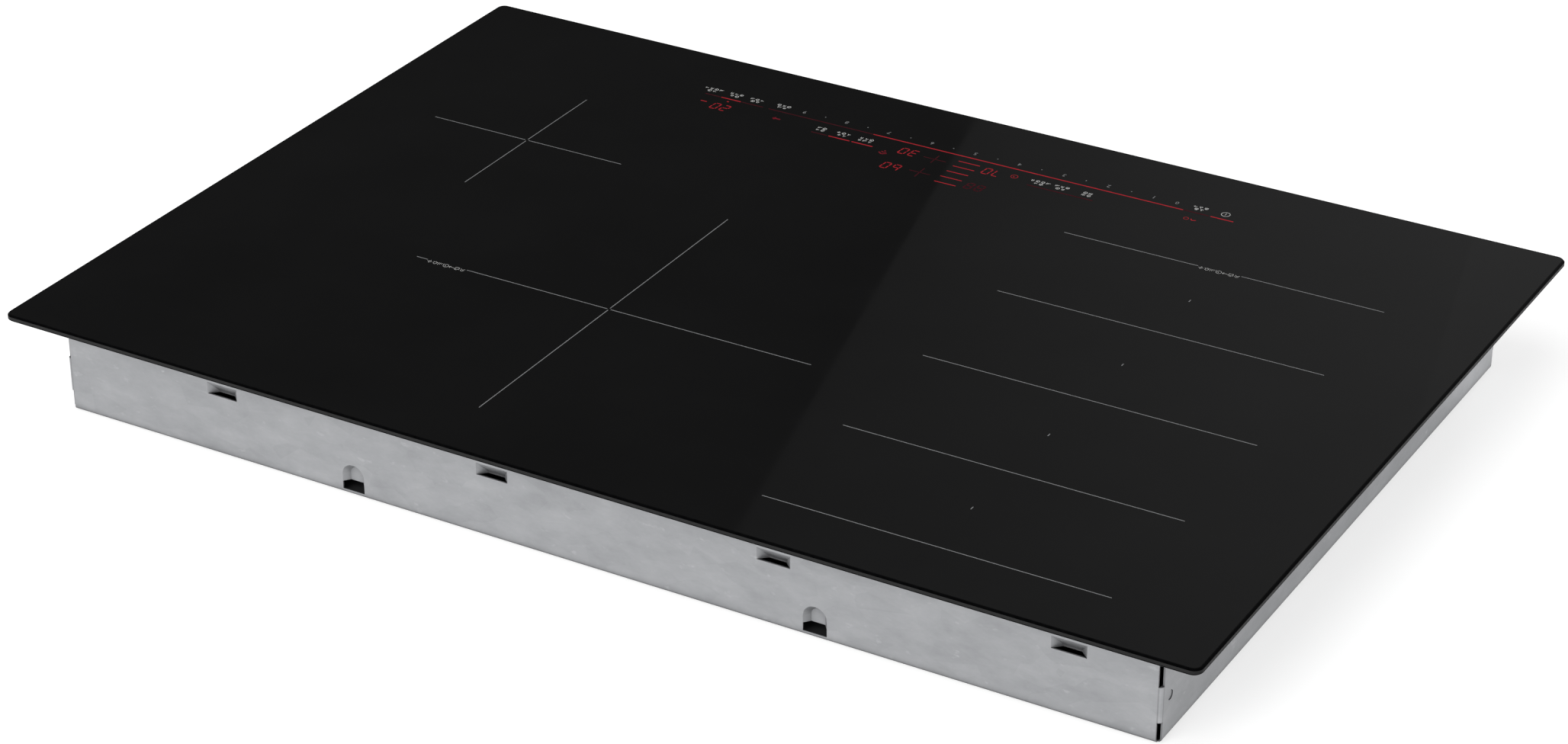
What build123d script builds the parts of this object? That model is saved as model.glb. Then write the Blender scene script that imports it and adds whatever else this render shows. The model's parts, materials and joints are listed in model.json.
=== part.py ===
from build123d import *
import math
import os

os.makedirs("parts", exist_ok=True)

# Induction cooktop that drops into a worktop cut-out. Millimetres, +Z up, the user stands at -Y.
# The origin lies under the middle of the glass, on the plane of the pan's underside.

# Glass plate and the foam tape under its rim
glass_width = 787.4
glass_depth = 539.75
glass_thickness = 4.0
glass_corner_radius = 6.0
glass_top_bevel = 1.0
glass_bottom_bevel = 0.7
seal_inset = 8.0
seal_width = 6.0
seal_thickness = 2.5
seal_joint_gap = 0.5

# Folded steel pan, set in from the glass edges, and the silicone bead that bonds its flange to the glass
side_overhang = 28.9
rear_overhang = 20.7
front_overhang = 36.7
pan_height = 61.3
pan_sheet = 1.0
pan_bend_radius = 2.2
pan_flange_width = 8.0
flange_notch_gap = 0.6
bond_thickness = 1.5
bond_inset = 3.0
bond_width = 4.0

# Pan corners: relief slots above and below a tab that is bent round and clinched to the side wall
relief_width = 2.4
relief_low_end = 13.0
relief_high_start = 35.2
tab_reach = 24.0
clinch_radius = 3.0
clinch_depth = 0.5
clinch_from_rear = 10.6
clinch_height = 25.6

# Louvre pockets lanced into the rear wall, placed from the wall's left end
pocket_insets = (55.0, 236.0, 421.7, 612.8)
pocket_slit_height = 39.7
pocket_width = 21.4
pocket_height = 7.8
pocket_depth = 5.0
pocket_floor_width = 11.0
pocket_floor_height = 1.0

# Arched tongues lanced into the rear wall, each above a window
lance_spacing = 310.3
lance_width = 15.2
lance_window_bottom = 2.8
lance_window_top = 7.7
lance_top = 20.1
lance_depth = 4.0
lance_slope = 3.2

# Openings in the pan: air inlet grilles, air outlet slots, hold-down screw holes
grille_radius = 35.0
grille_pitch = 7.0
grille_slot_width = 4.0
outlet_count = 10
outlet_pitch = 15.0
outlet_slot_width = 5.0
outlet_slot_length = 16.0
outlet_height = 20.0
hold_down_inset = 32.8
hold_down_spacing_y = 200.0
hold_down_hole_radius = 2.0

# Conduit inlet in the pan's floor and the mains terminal beside it
inlet_x = 60.0
inlet_from_rear = 45.175
inlet_hole_radius = 11.1
terminal_width = 64.0
terminal_depth = 28.0
terminal_base_height = 12.0
terminal_barrier = 2.5
terminal_barrier_height = 9.0
terminal_barrier_count = 5
terminal_from_inlet = 48.0
terminal_screw_radius = 3.0
terminal_screw_height = 2.0

# Heating zones: four oval coils in a row on the left plate, a large and a small round coil on the right one
flex_count = 4
flex_gap = 6.5
flex_side_margin = 29.0
flex_front_margin = 15.15
flex_rear_margin = 6.85
flex_coil_margin_x = 4.0
flex_coil_margin_y = 3.0
flex_coil_chamfer = 24.0
flex_band = 30.0
flex_core_width = 22.0
large_former_radius = 138.0
large_coil_radius = 132.0
large_core_radius = 26.0
large_side_margin = 23.0
large_rear_margin = 12.0
small_former_radius = 68.0
small_coil_radius = 64.0
small_core_radius = 20.0
small_side_margin = 23.7
small_front_margin = 1.3
coil_side_count = 24

# Coil stack, listed from the glass down
mica_thickness = 0.5
mica_margin = 2.0
winding_thickness = 5.0
former_thickness = 2.0
former_chamfer = 18.0
ferrite_thickness = 4.0
ferrite_width = 10.0
ferrite_margin = 6.0
flex_ferrite_pitch = 40.0
flex_ferrite_count = 4
large_ferrite_count = 10
small_ferrite_count = 6
ferrite_core_gap = 4.0
plate_thickness = 1.5
plate_side_gap = 16.8
plate_rear_gap = 15.175
plate_front_gap = 3.5
plate_split_x = -82.0
plate_split_gap = 6.0
sensor_size = 12.0
sensor_clearance = 2.0

# Leaf springs that press the coil plates up against the glass
spring_foot = 14.0
spring_run = 26.0
spring_head = 8.0
spring_width = 12.0
spring_thickness = 1.0
spring_inset = 20.0

# Touch control unit under the front of the glass
control_width = 412.0
control_depth = 57.0
control_height = 12.0
control_wall = 2.0
control_flange_gap = 4.175
control_leg_size = 8.0
control_leg_inset = 16.0
control_board_thickness = 1.6
control_board_gap = 0.5
display_end_inset = 35.0
display_inner_x = 30.0
display_width = 24.0
display_depth = 14.0
display_rearward = 6.0
display_glass_gap = 0.4
touch_count = 10
touch_pitch = 32.0
touch_size = 8.0
touch_x = -8.6
touch_from_front = 7.0

# Printed circuit boards on snap-in posts
board_thickness = 1.6
board_inset = 7.0
post_height = 6.0
post_size = 8.0
post_neck = 4.0
post_head = 6.0
post_head_height = 2.0
post_clearance = 0.1
power_from_side = 149.8
power_front_gap = 40.5
power_duct_gap = 24.0
power_board_width = 190.0
sink_width = 62.0
sink_end_margin = 19.0
sink_base = 4.0
sink_fin_height = 20.0
sink_fin_thickness = 2.0
sink_fin_count = 9
transistor_width = 16.0
transistor_thickness = 5.0
transistor_height = 20.0
transistor_pitch = 40.0
transistor_rows = 2
capacitor_width = 18.0
capacitor_depth = 32.0
capacitor_height = 24.0
capacitor_offset = 70.0
capacitor_pitch = 56.0
filter_front_gap = 46.5
filter_board_width = 124.0
filter_board_depth = 132.0
choke_x = -24.0
choke_y = 20.0
choke_width = 36.0
choke_depth = 44.0
choke_height = 26.0
choke_window_width = 16.0
choke_window_depth = 20.0
filter_capacitor_x = 34.0
filter_capacitor_pitch = 42.0

# Cooling blowers: a scroll housing, its cover with the motor, and a bladed wheel on a shaft
fan_from_rear = 129.175
wheel_radius = 39.0
wheel_height = 18.0
wheel_gap = 2.0
wheel_backplate = 1.5
blade_count = 18
blade_length = 9.0
blade_tip_inset = 0.5
blade_thickness = 1.0
blade_lean = 8.0
hub_radius = 17.0
hub_wall = 1.6
shaft_radius = 1.5
shaft_seat_clearance = 0.02
shaft_top_gap = 0.5
bearing_clearance = 0.05
bearing_wall = 3.0
bearing_floor_gap = 2.0
stator_gap = 1.0
stator_height = 9.0
stator_pole_count = 6
stator_pole_width = 5.0
stator_core_wall = 2.0
stator_seat_clearance = 0.1
scroll_gap = 5.0
scroll_growth = 4.0
scroll_wall = 2.0
duct_length = 60.0
cover_thickness = 2.0
foot_size = 10.0
foot_height = 3.0
foot_plug_length = 7.0
foot_plug_width = 3.0
foot_plug_clearance = 0.15
foot_plug_recess = 0.2

# Pan and coil stack, worked out from the sizes above
pan_width = glass_width - 2 * side_overhang
pan_depth = glass_depth - rear_overhang - front_overhang
pan_front = front_overhang - glass_depth / 2
pan_rear = glass_depth / 2 - rear_overhang
pan_rearward = (pan_front + pan_rear) / 2
pan_floor = pan_sheet
hold_down_spacing_x = pan_width - 2 * hold_down_inset
inlet_y = pan_rear - inlet_from_rear
glass_bottom = pan_height + bond_thickness
mica_bottom = glass_bottom - mica_thickness
winding_bottom = mica_bottom - winding_thickness
former_bottom = winding_bottom - former_thickness
plate_top = former_bottom - ferrite_thickness
plate_bottom = plate_top - plate_thickness
sensor_hole = sensor_size + 2 * sensor_clearance

# Control unit behind the front flange, and the coil plates behind the control unit
control_front = pan_front + pan_flange_width + control_flange_gap
control_rear = control_front + control_depth
control_y = (control_front + control_rear) / 2
control_bottom = glass_bottom - control_height
control_board_top = control_bottom + control_wall + control_board_thickness
display_outer_x = control_width / 2 - display_end_inset
plate_outer = pan_width / 2 - pan_sheet - plate_side_gap
plate_rear = pan_rear - pan_sheet - plate_rear_gap
plate_front = control_rear + plate_front_gap
plate_depth = plate_rear - plate_front
plate_y = (plate_front + plate_rear) / 2
left_plate_inner = plate_split_x - plate_split_gap / 2
left_plate_width = plate_outer + left_plate_inner
left_plate_x = left_plate_inner - left_plate_width / 2
right_plate_inner = plate_split_x + plate_split_gap / 2
right_plate_width = plate_outer - right_plate_inner
right_plate_x = right_plate_inner + right_plate_width / 2

# Coils on the plates
flex_front = plate_front + flex_front_margin
flex_pitch = (plate_rear - flex_rear_margin - flex_front + flex_gap) / flex_count
flex_former_width = flex_pitch - flex_gap
flex_former_length = left_plate_width - 2 * flex_side_margin
flex_coil_width = flex_former_width - 2 * flex_coil_margin_y
flex_coil_length = flex_former_length - 2 * flex_coil_margin_x
flex_core_length = flex_coil_length - 2 * flex_band
flex_first_y = flex_front + flex_former_width / 2
flex_centers = [(left_plate_x, flex_first_y + flex_pitch * i) for i in range(flex_count)]
large_x = right_plate_inner + large_side_margin + large_former_radius
large_y = plate_rear - large_rear_margin - large_former_radius
small_x = plate_outer - small_side_margin - small_former_radius
small_y = plate_front + small_front_margin + small_former_radius
coil_centers = flex_centers + [(large_x, large_y), (small_x, small_y)]

# Blowers at the rear, and the boards between them and the control unit
scroll_radius = wheel_radius + scroll_gap
duct_width = scroll_radius + 3 * scroll_growth
scroll_height = wheel_gap + wheel_height + wheel_gap
scroll_top = pan_floor + scroll_height
wheel_bottom = pan_floor + wheel_gap
wheel_top = wheel_bottom + wheel_height
bearing_bore = shaft_radius + bearing_clearance
bearing_radius = bearing_bore + bearing_wall
bearing_bottom = wheel_bottom + hub_wall + bearing_floor_gap
foot_slot_width = foot_plug_width + 2 * foot_plug_clearance
foot_slot_length = foot_plug_length + 2 * foot_plug_clearance
power_x = pan_width / 2 - power_from_side
sides = {"left": -power_x, "right": power_x}
fan_y = pan_rear - fan_from_rear
fan_centers = {side: (x + duct_width / 2, fan_y) for side, x in sides.items()}
power_front = plate_front + power_front_gap
power_rear = fan_y - duct_length - power_duct_gap
power_y = (power_front + power_rear) / 2
power_board_depth = power_rear - power_front
sink_length = power_board_depth - 2 * sink_end_margin
filter_y = plate_front + filter_front_gap + filter_board_depth / 2
board_bottom = pan_floor + post_height
board_top = board_bottom + board_thickness
post_hole = post_neck + 2 * post_clearance
board_layouts = {
    "left": (-power_x, power_y, power_board_width, power_board_depth),
    "right": (power_x, power_y, power_board_width, power_board_depth),
    "filter": (0, filter_y, filter_board_width, filter_board_depth),
}

# Planes on the outside of the pan's walls, each facing inwards, and the way shapes stand on a line
rear_wall = Plane(origin=(0, pan_rear, 0), x_dir=(1, 0, 0), z_dir=(0, -1, 0))
front_wall = Plane(origin=(0, pan_front, 0), x_dir=(-1, 0, 0), z_dir=(0, 1, 0))
left_wall = Plane(origin=(-pan_width / 2, pan_rearward, 0), x_dir=(0, 1, 0), z_dir=(1, 0, 0))
right_wall = Plane(origin=(pan_width / 2, pan_rearward, 0), x_dir=(0, -1, 0), z_dir=(-1, 0, 0))
standing = (Align.CENTER, Align.MIN)


def at_height(point, height):
    """A level plane whose origin stands over a point of the floor plan."""
    return Plane(origin=(point[0], point[1], height))


def polar(radius, degrees):
    """A point of the plan by its distance and angle from the local origin."""
    turn = math.radians(degrees)
    return (radius * math.cos(turn), radius * math.sin(turn))


def corner_points(layout):
    """The four post centres of a board, its inset inside each corner."""
    x, y, width, depth = layout
    half_x = width / 2 - board_inset
    half_y = depth / 2 - board_inset
    return [(x + i * half_x, y + j * half_y) for i in (-1, 1) for j in (-1, 1)]


def draw_arch(width, top, base):
    """A tongue outline: flat at its base, half round at its top."""
    spring_line = top - width / 2
    with BuildLine() as outline:
        Line((-width / 2, base), (width / 2, base))
        Line((width / 2, base), (width / 2, spring_line))
        ThreePointArc((width / 2, spring_line), (0, top), (-width / 2, spring_line))
        Line((-width / 2, spring_line), (-width / 2, base))
    make_face(outline.edges())


def draw_scroll():
    """A blower chamber: quarter arcs of growing radius, then a straight duct towards the front."""
    step = scroll_growth
    with BuildLine() as outline:
        first = CenterArc((0, 0), scroll_radius, -90, 90)
        second = CenterArc((-step, 0), scroll_radius + step, 0, 90)
        third = CenterArc((-step, -step), scroll_radius + 2 * step, 90, 90)
        mouth_left = (-duct_width, -duct_length)
        mouth_right = (0, -duct_length)
        Line(third @ 1, mouth_left)
        Line(mouth_left, mouth_right)
        Line(mouth_right, first @ 0)
    make_face(outline.edges())


def foot_points(center):
    """The three feet that clip a blower housing into the pan, just outside its wall."""
    step = scroll_growth
    reach = (scroll_wall + foot_size) / 2
    x, y = center
    east = (x + scroll_radius + reach, y)
    north = (x - step, y + scroll_radius + step + reach)
    west = (x - duct_width - reach, y - step)
    return [east, north, west]


# Glass ceramic plate with a ground bevel all round
with BuildPart() as glass_top:
    with BuildSketch(Plane.XY.offset(glass_bottom)):
        RectangleRounded(glass_width, glass_depth, glass_corner_radius)
    extrude(amount=glass_thickness)
    chamfer(glass_top.edges().group_by(Axis.Z)[-1], length=glass_top_bevel)
    chamfer(glass_top.edges().group_by(Axis.Z)[0], length=glass_bottom_bevel)
glass_top.part.label = "glass_top"
export_step(glass_top.part, "parts/glass_top.step")

# Foam tape in four lengths, which lies on the worktop
with BuildPart() as rim_seal:
    tape_length = glass_width - 2 * seal_inset
    tape_depth = glass_depth - 2 * seal_inset
    with BuildSketch(Plane.XY.offset(glass_bottom - seal_thickness)):
        with GridLocations(0, tape_depth - seal_width, 1, 2):
            Rectangle(tape_length, seal_width)
        with GridLocations(tape_length - seal_width, 0, 2, 1):
            Rectangle(seal_width, tape_depth - 2 * (seal_width + seal_joint_gap))
    extrude(amount=seal_thickness)
rim_seal.part.label = "rim_seal"
export_step(rim_seal.part, "parts/rim_seal.step")

# Silicone bead between the pan's flange and the glass
with BuildPart() as glass_bond:
    bead_width = pan_width - 2 * bond_inset
    bead_depth = pan_depth - 2 * bond_inset
    with BuildSketch(at_height((0, pan_rearward), pan_height)):
        Rectangle(bead_width, bead_depth)
        Rectangle(bead_width - 2 * bond_width, bead_depth - 2 * bond_width, mode=Mode.SUBTRACT)
    extrude(amount=bond_thickness)
glass_bond.part.label = "glass_bond"
export_step(glass_bond.part, "parts/glass_bond.step")

# Hollow of the pan, with the inside radius of its bends
with BuildPart() as pan_hollow:
    with BuildSketch(at_height((0, pan_rearward), pan_sheet)):
        Rectangle(pan_width - 2 * pan_sheet, pan_depth - 2 * pan_sheet)
    extrude(amount=pan_height - 2 * pan_sheet)
    fillet(pan_hollow.edges(), radius=pan_bend_radius - pan_sheet)

# Steel pan: floor, four walls and a flange turned inwards, with every opening cut or drawn in the sheet
with BuildPart() as bottom_pan:
    with BuildSketch(at_height((0, pan_rearward), 0)):
        Rectangle(pan_width, pan_depth)
    extrude(amount=pan_height)
    fillet(bottom_pan.edges(), radius=pan_bend_radius)
    add(pan_hollow.part, mode=Mode.SUBTRACT)

    # The flange stays round the open top, notched where two walls meet
    with BuildSketch(at_height((0, pan_rearward), pan_height - pan_sheet)):
        Rectangle(pan_width - 2 * pan_flange_width, pan_depth - 2 * pan_flange_width)
        notch = 2 * (pan_flange_width + flange_notch_gap)
        with GridLocations(pan_width, pan_depth, 2, 2):
            Rectangle(notch, notch)
    extrude(amount=pan_sheet, mode=Mode.SUBTRACT)

    # Relief slots that free the corner tabs
    with BuildSketch(at_height((0, pan_rearward), 0)):
        with GridLocations(pan_width, pan_depth, 2, 2):
            Rectangle(2 * relief_width, 2 * relief_width)
    extrude(amount=relief_low_end, mode=Mode.SUBTRACT)
    with BuildSketch(at_height((0, pan_rearward), relief_high_start)):
        with GridLocations(pan_width, pan_depth, 2, 2):
            Rectangle(2 * relief_width, 2 * relief_width)
    extrude(amount=pan_height - relief_high_start, mode=Mode.SUBTRACT)

    # Corner tabs lie inside the side walls and are clinched through them
    with BuildSketch(at_height((0, pan_rearward), relief_low_end)):
        with GridLocations(pan_width - 3 * pan_sheet, pan_depth - pan_sheet - tab_reach, 2, 2):
            Rectangle(pan_sheet, tab_reach)
    extrude(amount=relief_high_start - relief_low_end)
    clinch_spacing = pan_depth - 2 * clinch_from_rear
    for side_wall in (left_wall, right_wall):
        with BuildSketch(side_wall):
            with Locations((0, clinch_height)):
                with GridLocations(clinch_spacing, 0, 2, 1):
                    Circle(clinch_radius)
        extrude(amount=clinch_depth, mode=Mode.SUBTRACT)

    # Louvre pockets: the sheet is drawn inwards above a slit
    for inset in pocket_insets:
        slit = (inset - pan_width / 2, pocket_slit_height)
        for grow, mode in ((pan_sheet, Mode.ADD), (0, Mode.SUBTRACT)):
            with BuildSketch(rear_wall):
                with Locations(slit):
                    Rectangle(pocket_width + 2 * grow, pocket_height + grow, align=standing)
            with BuildSketch(rear_wall.offset(pocket_depth + grow)):
                with Locations(slit):
                    Rectangle(pocket_floor_width + 2 * grow, pocket_floor_height + grow, align=standing)
            loft(mode=mode)

    # Arched tongues: pressed inwards above a window
    tongue_width = lance_width - 2 * lance_slope
    for place in (-lance_spacing / 2, lance_spacing / 2):
        arch_wall = Plane(origin=(place, pan_rear, 0), x_dir=rear_wall.x_dir, z_dir=rear_wall.z_dir)
        for grow, mode in ((pan_sheet, Mode.ADD), (0, Mode.SUBTRACT)):
            with BuildSketch(arch_wall):
                draw_arch(lance_width + 2 * grow, lance_top + grow, lance_window_top)
            with BuildSketch(arch_wall.offset(lance_depth + grow)):
                draw_arch(tongue_width + 2 * grow, lance_top - lance_slope + grow, lance_window_top)
            loft(mode=mode)
        with BuildSketch(arch_wall):
            with Locations((0, lance_window_bottom)):
                Rectangle(lance_width, lance_window_top - lance_window_bottom, align=standing)
        extrude(amount=pan_sheet, mode=Mode.SUBTRACT)

    # Air inlet grilles under the blowers: slots whose lengths follow a circle
    slot_steps = int((grille_radius - grille_slot_width) / grille_pitch)
    with BuildSketch():
        for center_x, center_y in fan_centers.values():
            for step in range(-slot_steps, slot_steps + 1):
                half_chord = math.sqrt(grille_radius**2 - (step * grille_pitch) ** 2)
                with Locations((center_x + step * grille_pitch, center_y)):
                    Rectangle(grille_slot_width, 2 * half_chord)
    extrude(amount=pan_sheet, mode=Mode.SUBTRACT)

    # Air outlet slots in the front wall, ahead of the heat sinks
    with BuildSketch(front_wall):
        for center_x in sides.values():
            with Locations((center_x, outlet_height)):
                with GridLocations(outlet_pitch, 0, outlet_count, 1):
                    Rectangle(outlet_slot_width, outlet_slot_length)
    extrude(amount=pan_sheet, mode=Mode.SUBTRACT)

    # Holes in the floor: conduit inlet, hold-down screws and the blowers' feet
    with BuildSketch():
        with Locations((inlet_x, inlet_y)):
            Circle(inlet_hole_radius)
        with Locations((0, pan_rearward)):
            with GridLocations(hold_down_spacing_x, hold_down_spacing_y, 2, 2):
                Circle(hold_down_hole_radius)
        for center in fan_centers.values():
            with Locations(*foot_points(center)):
                Rectangle(foot_slot_width, foot_slot_length)
    extrude(amount=pan_sheet, mode=Mode.SUBTRACT)
bottom_pan.part.label = "bottom_pan"
export_step(bottom_pan.part, "parts/bottom_pan.step")

# Mains terminal with a barrier beside each pole
with BuildPart() as terminal_block:
    terminal_center = (inlet_x, inlet_y - terminal_from_inlet)
    with BuildSketch(at_height(terminal_center, pan_floor)):
        Rectangle(terminal_width, terminal_depth)
    extrude(amount=terminal_base_height)
    barrier_pitch = (terminal_width - terminal_barrier) / (terminal_barrier_count - 1)
    with BuildSketch(at_height(terminal_center, pan_floor + terminal_base_height)):
        with GridLocations(barrier_pitch, 0, terminal_barrier_count, 1):
            Rectangle(terminal_barrier, terminal_depth)
    extrude(amount=terminal_barrier_height)
terminal_block.part.label = "terminal_block"
export_step(terminal_block.part, "parts/terminal_block.step")

# Clamp screws on the terminal, one in the middle of each pole
with BuildPart() as terminal_screws:
    with BuildSketch(at_height(terminal_center, pan_floor + terminal_base_height)):
        with GridLocations(barrier_pitch, 0, terminal_barrier_count - 1, 1):
            RegularPolygon(terminal_screw_radius, 6)
    extrude(amount=terminal_screw_height)
terminal_screws.part.label = "terminal_screws"
export_step(terminal_screws.part, "parts/terminal_screws.step")

# Snap-in posts: a foot on the pan, a neck through the board and a head over it
with BuildPart() as board_posts:
    for size, start, height in (
        (post_size, pan_floor, post_height),
        (post_neck, board_bottom, board_thickness),
        (post_head, board_top, post_head_height),
    ):
        with BuildSketch(Plane.XY.offset(start)):
            for layout in board_layouts.values():
                with Locations(*corner_points(layout)):
                    Rectangle(size, size)
        extrude(amount=height)
board_posts.part.label = "board_posts"
export_step(board_posts.part, "parts/board_posts.step")

# Mains filter board with its choke and capacitors
with BuildPart() as filter_board:
    with BuildSketch(Plane.XY.offset(board_bottom)):
        with Locations((0, filter_y)):
            Rectangle(filter_board_width, filter_board_depth)
        with Locations(*corner_points(board_layouts["filter"])):
            Rectangle(post_hole, post_hole, mode=Mode.SUBTRACT)
    extrude(amount=board_thickness)
filter_board.part.label = "filter_board"
export_step(filter_board.part, "parts/filter_board.step")

with BuildPart() as filter_choke:
    with BuildSketch(at_height((choke_x, filter_y + choke_y), board_top)):
        Rectangle(choke_width, choke_depth)
        Rectangle(choke_window_width, choke_window_depth, mode=Mode.SUBTRACT)
    extrude(amount=choke_height)
filter_choke.part.label = "filter_choke"
export_step(filter_choke.part, "parts/filter_choke.step")

with BuildPart() as filter_capacitors:
    with BuildSketch(at_height((filter_capacitor_x, filter_y), board_top)):
        with GridLocations(0, filter_capacitor_pitch, 1, 2):
            Rectangle(capacitor_width, capacitor_depth)
    extrude(amount=capacitor_height)
filter_capacitors.part.label = "filter_capacitors"
export_step(filter_capacitors.part, "parts/filter_capacitors.step")

# Inverter boards, each with a finned heat sink, transistors against it and box capacitors
for side, center_x in sides.items():
    center = (center_x, power_y)

    with BuildPart() as power_board:
        with BuildSketch(at_height(center, board_bottom)):
            Rectangle(power_board_width, power_board_depth)
        extrude(amount=board_thickness)
        with BuildSketch(Plane.XY.offset(board_bottom)):
            with Locations(*corner_points(board_layouts[side])):
                Rectangle(post_hole, post_hole)
        extrude(amount=board_thickness, mode=Mode.SUBTRACT)
    power_board.part.label = f"power_board_{side}"
    export_step(power_board.part, f"parts/power_board_{side}.step")

    with BuildPart() as heat_sink:
        fin_pitch = (sink_width - sink_fin_thickness) / (sink_fin_count - 1)
        section = Plane(origin=(center_x, power_y, board_top), x_dir=(1, 0, 0), z_dir=(0, -1, 0))
        with BuildSketch(section):
            Rectangle(sink_width, sink_base, align=standing)
            with Locations((0, sink_base + sink_fin_height / 2)):
                with GridLocations(fin_pitch, 0, sink_fin_count, 1):
                    Rectangle(sink_fin_thickness, sink_fin_height)
        extrude(amount=sink_length / 2, both=True)
    heat_sink.part.label = f"heat_sink_{side}"
    export_step(heat_sink.part, f"parts/heat_sink_{side}.step")

    with BuildPart() as power_transistors:
        with BuildSketch(at_height(center, board_top)):
            with GridLocations(sink_width + transistor_thickness, transistor_pitch, 2, transistor_rows):
                Rectangle(transistor_thickness, transistor_width)
        extrude(amount=transistor_height)
    power_transistors.part.label = f"power_transistors_{side}"
    export_step(power_transistors.part, f"parts/power_transistors_{side}.step")

    with BuildPart() as power_capacitors:
        with BuildSketch(at_height(center, board_top)):
            with GridLocations(2 * capacitor_offset, capacitor_pitch, 2, 2):
                Rectangle(capacitor_width, capacitor_depth)
        extrude(amount=capacitor_height)
    power_capacitors.part.label = f"power_capacitors_{side}"
    export_step(power_capacitors.part, f"parts/power_capacitors_{side}.step")

# One leaning blade, drawn beside the local origin
blade_tip = wheel_radius - blade_tip_inset
blade_root = blade_tip - blade_length
blade_turn = math.degrees(blade_thickness / blade_root)
with BuildSketch() as blade:
    Polygon(
        polar(blade_root, 0),
        polar(blade_tip, blade_lean),
        polar(blade_tip, blade_lean + blade_turn),
        polar(blade_root, blade_turn),
        align=None,
    )

# Blowers: they draw air through the grille in the pan and push it along the heat sink
for side, center in fan_centers.items():
    with BuildPart() as fan_housing:
        with BuildSketch(at_height(center, pan_floor)):
            draw_scroll()
            offset(amount=scroll_wall, kind=Kind.INTERSECTION)
        extrude(amount=scroll_height)
        with BuildSketch(at_height(center, pan_floor)):
            draw_scroll()
            with Locations((-duct_width / 2, -duct_length)):
                Rectangle(duct_width, 2 * scroll_wall)
        extrude(amount=scroll_height, mode=Mode.SUBTRACT)
        with BuildSketch(Plane.XY.offset(pan_floor)):
            with Locations(*foot_points(center)):
                Rectangle(foot_size, foot_size)
        extrude(amount=foot_height)
        with BuildSketch(Plane.XY.offset(foot_plug_recess)):
            with Locations(*foot_points(center)):
                Rectangle(foot_plug_width, foot_plug_length)
        extrude(amount=pan_floor - foot_plug_recess)
    fan_housing.part.label = f"fan_housing_{side}"
    export_step(fan_housing.part, f"parts/fan_housing_{side}.step")

    with BuildPart() as fan_cover:
        with BuildSketch(at_height(center, scroll_top)):
            draw_scroll()
            offset(amount=scroll_wall, kind=Kind.INTERSECTION)
        extrude(amount=cover_thickness)
    fan_cover.part.label = f"fan_cover_{side}"
    export_step(fan_cover.part, f"parts/fan_cover_{side}.step")

    with BuildPart() as fan_bearing:
        with BuildSketch(at_height(center, bearing_bottom)):
            Circle(bearing_radius)
            Circle(bearing_bore, mode=Mode.SUBTRACT)
        extrude(amount=scroll_top - bearing_bottom)
    fan_bearing.part.label = f"fan_bearing_{side}"
    export_step(fan_bearing.part, f"parts/fan_bearing_{side}.step")

    with BuildPart() as fan_stator:
        stator_bore = bearing_radius + stator_seat_clearance
        pole_length = hub_radius - hub_wall - stator_gap - stator_bore
        with BuildSketch(at_height(center, bearing_bottom)):
            RegularPolygon(stator_bore + stator_core_wall, stator_pole_count, major_radius=False)
            with PolarLocations(stator_bore + pole_length / 2, stator_pole_count, 180 / stator_pole_count):
                Rectangle(pole_length, stator_pole_width)
            Circle(stator_bore, mode=Mode.SUBTRACT)
        extrude(amount=stator_height)
    fan_stator.part.label = f"fan_stator_{side}"
    export_step(fan_stator.part, f"parts/fan_stator_{side}.step")

    with BuildPart() as fan_wheel:
        with BuildSketch(at_height(center, wheel_top - wheel_backplate)):
            Circle(wheel_radius)
        extrude(amount=wheel_backplate)
        with BuildSketch(at_height(center, wheel_bottom)):
            Circle(hub_radius)
        extrude(amount=wheel_height)
        with BuildSketch(at_height(center, wheel_bottom + hub_wall)):
            Circle(hub_radius - hub_wall)
        extrude(amount=wheel_height - hub_wall, mode=Mode.SUBTRACT)
        with BuildSketch(at_height(center, wheel_bottom)):
            Circle(shaft_radius + shaft_seat_clearance)
        extrude(amount=hub_wall, mode=Mode.SUBTRACT)
        with BuildSketch(at_height(center, wheel_bottom)):
            with PolarLocations(0, blade_count):
                add(blade.sketch)
        extrude(amount=wheel_height - wheel_backplate)
    fan_wheel.part.label = f"fan_wheel_{side}"
    export_step(fan_wheel.part, f"parts/fan_wheel_{side}.step")

    with BuildPart() as fan_shaft:
        with BuildSketch(at_height(center, wheel_bottom)):
            Circle(shaft_radius)
        extrude(amount=scroll_top - shaft_top_gap - wheel_bottom)
    fan_shaft.part.label = f"fan_shaft_{side}"
    export_step(fan_shaft.part, f"parts/fan_shaft_{side}.step")

# Aluminium plates that carry the coils
for side, plate_x, plate_width in (
    ("left", left_plate_x, left_plate_width),
    ("right", right_plate_x, right_plate_width),
):
    with BuildPart() as coil_plate:
        with BuildSketch(at_height((plate_x, plate_y), plate_bottom)):
            Rectangle(plate_width, plate_depth)
        extrude(amount=plate_thickness)
    coil_plate.part.label = f"coil_plate_{side}"
    export_step(coil_plate.part, f"parts/coil_plate_{side}.step")

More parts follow.
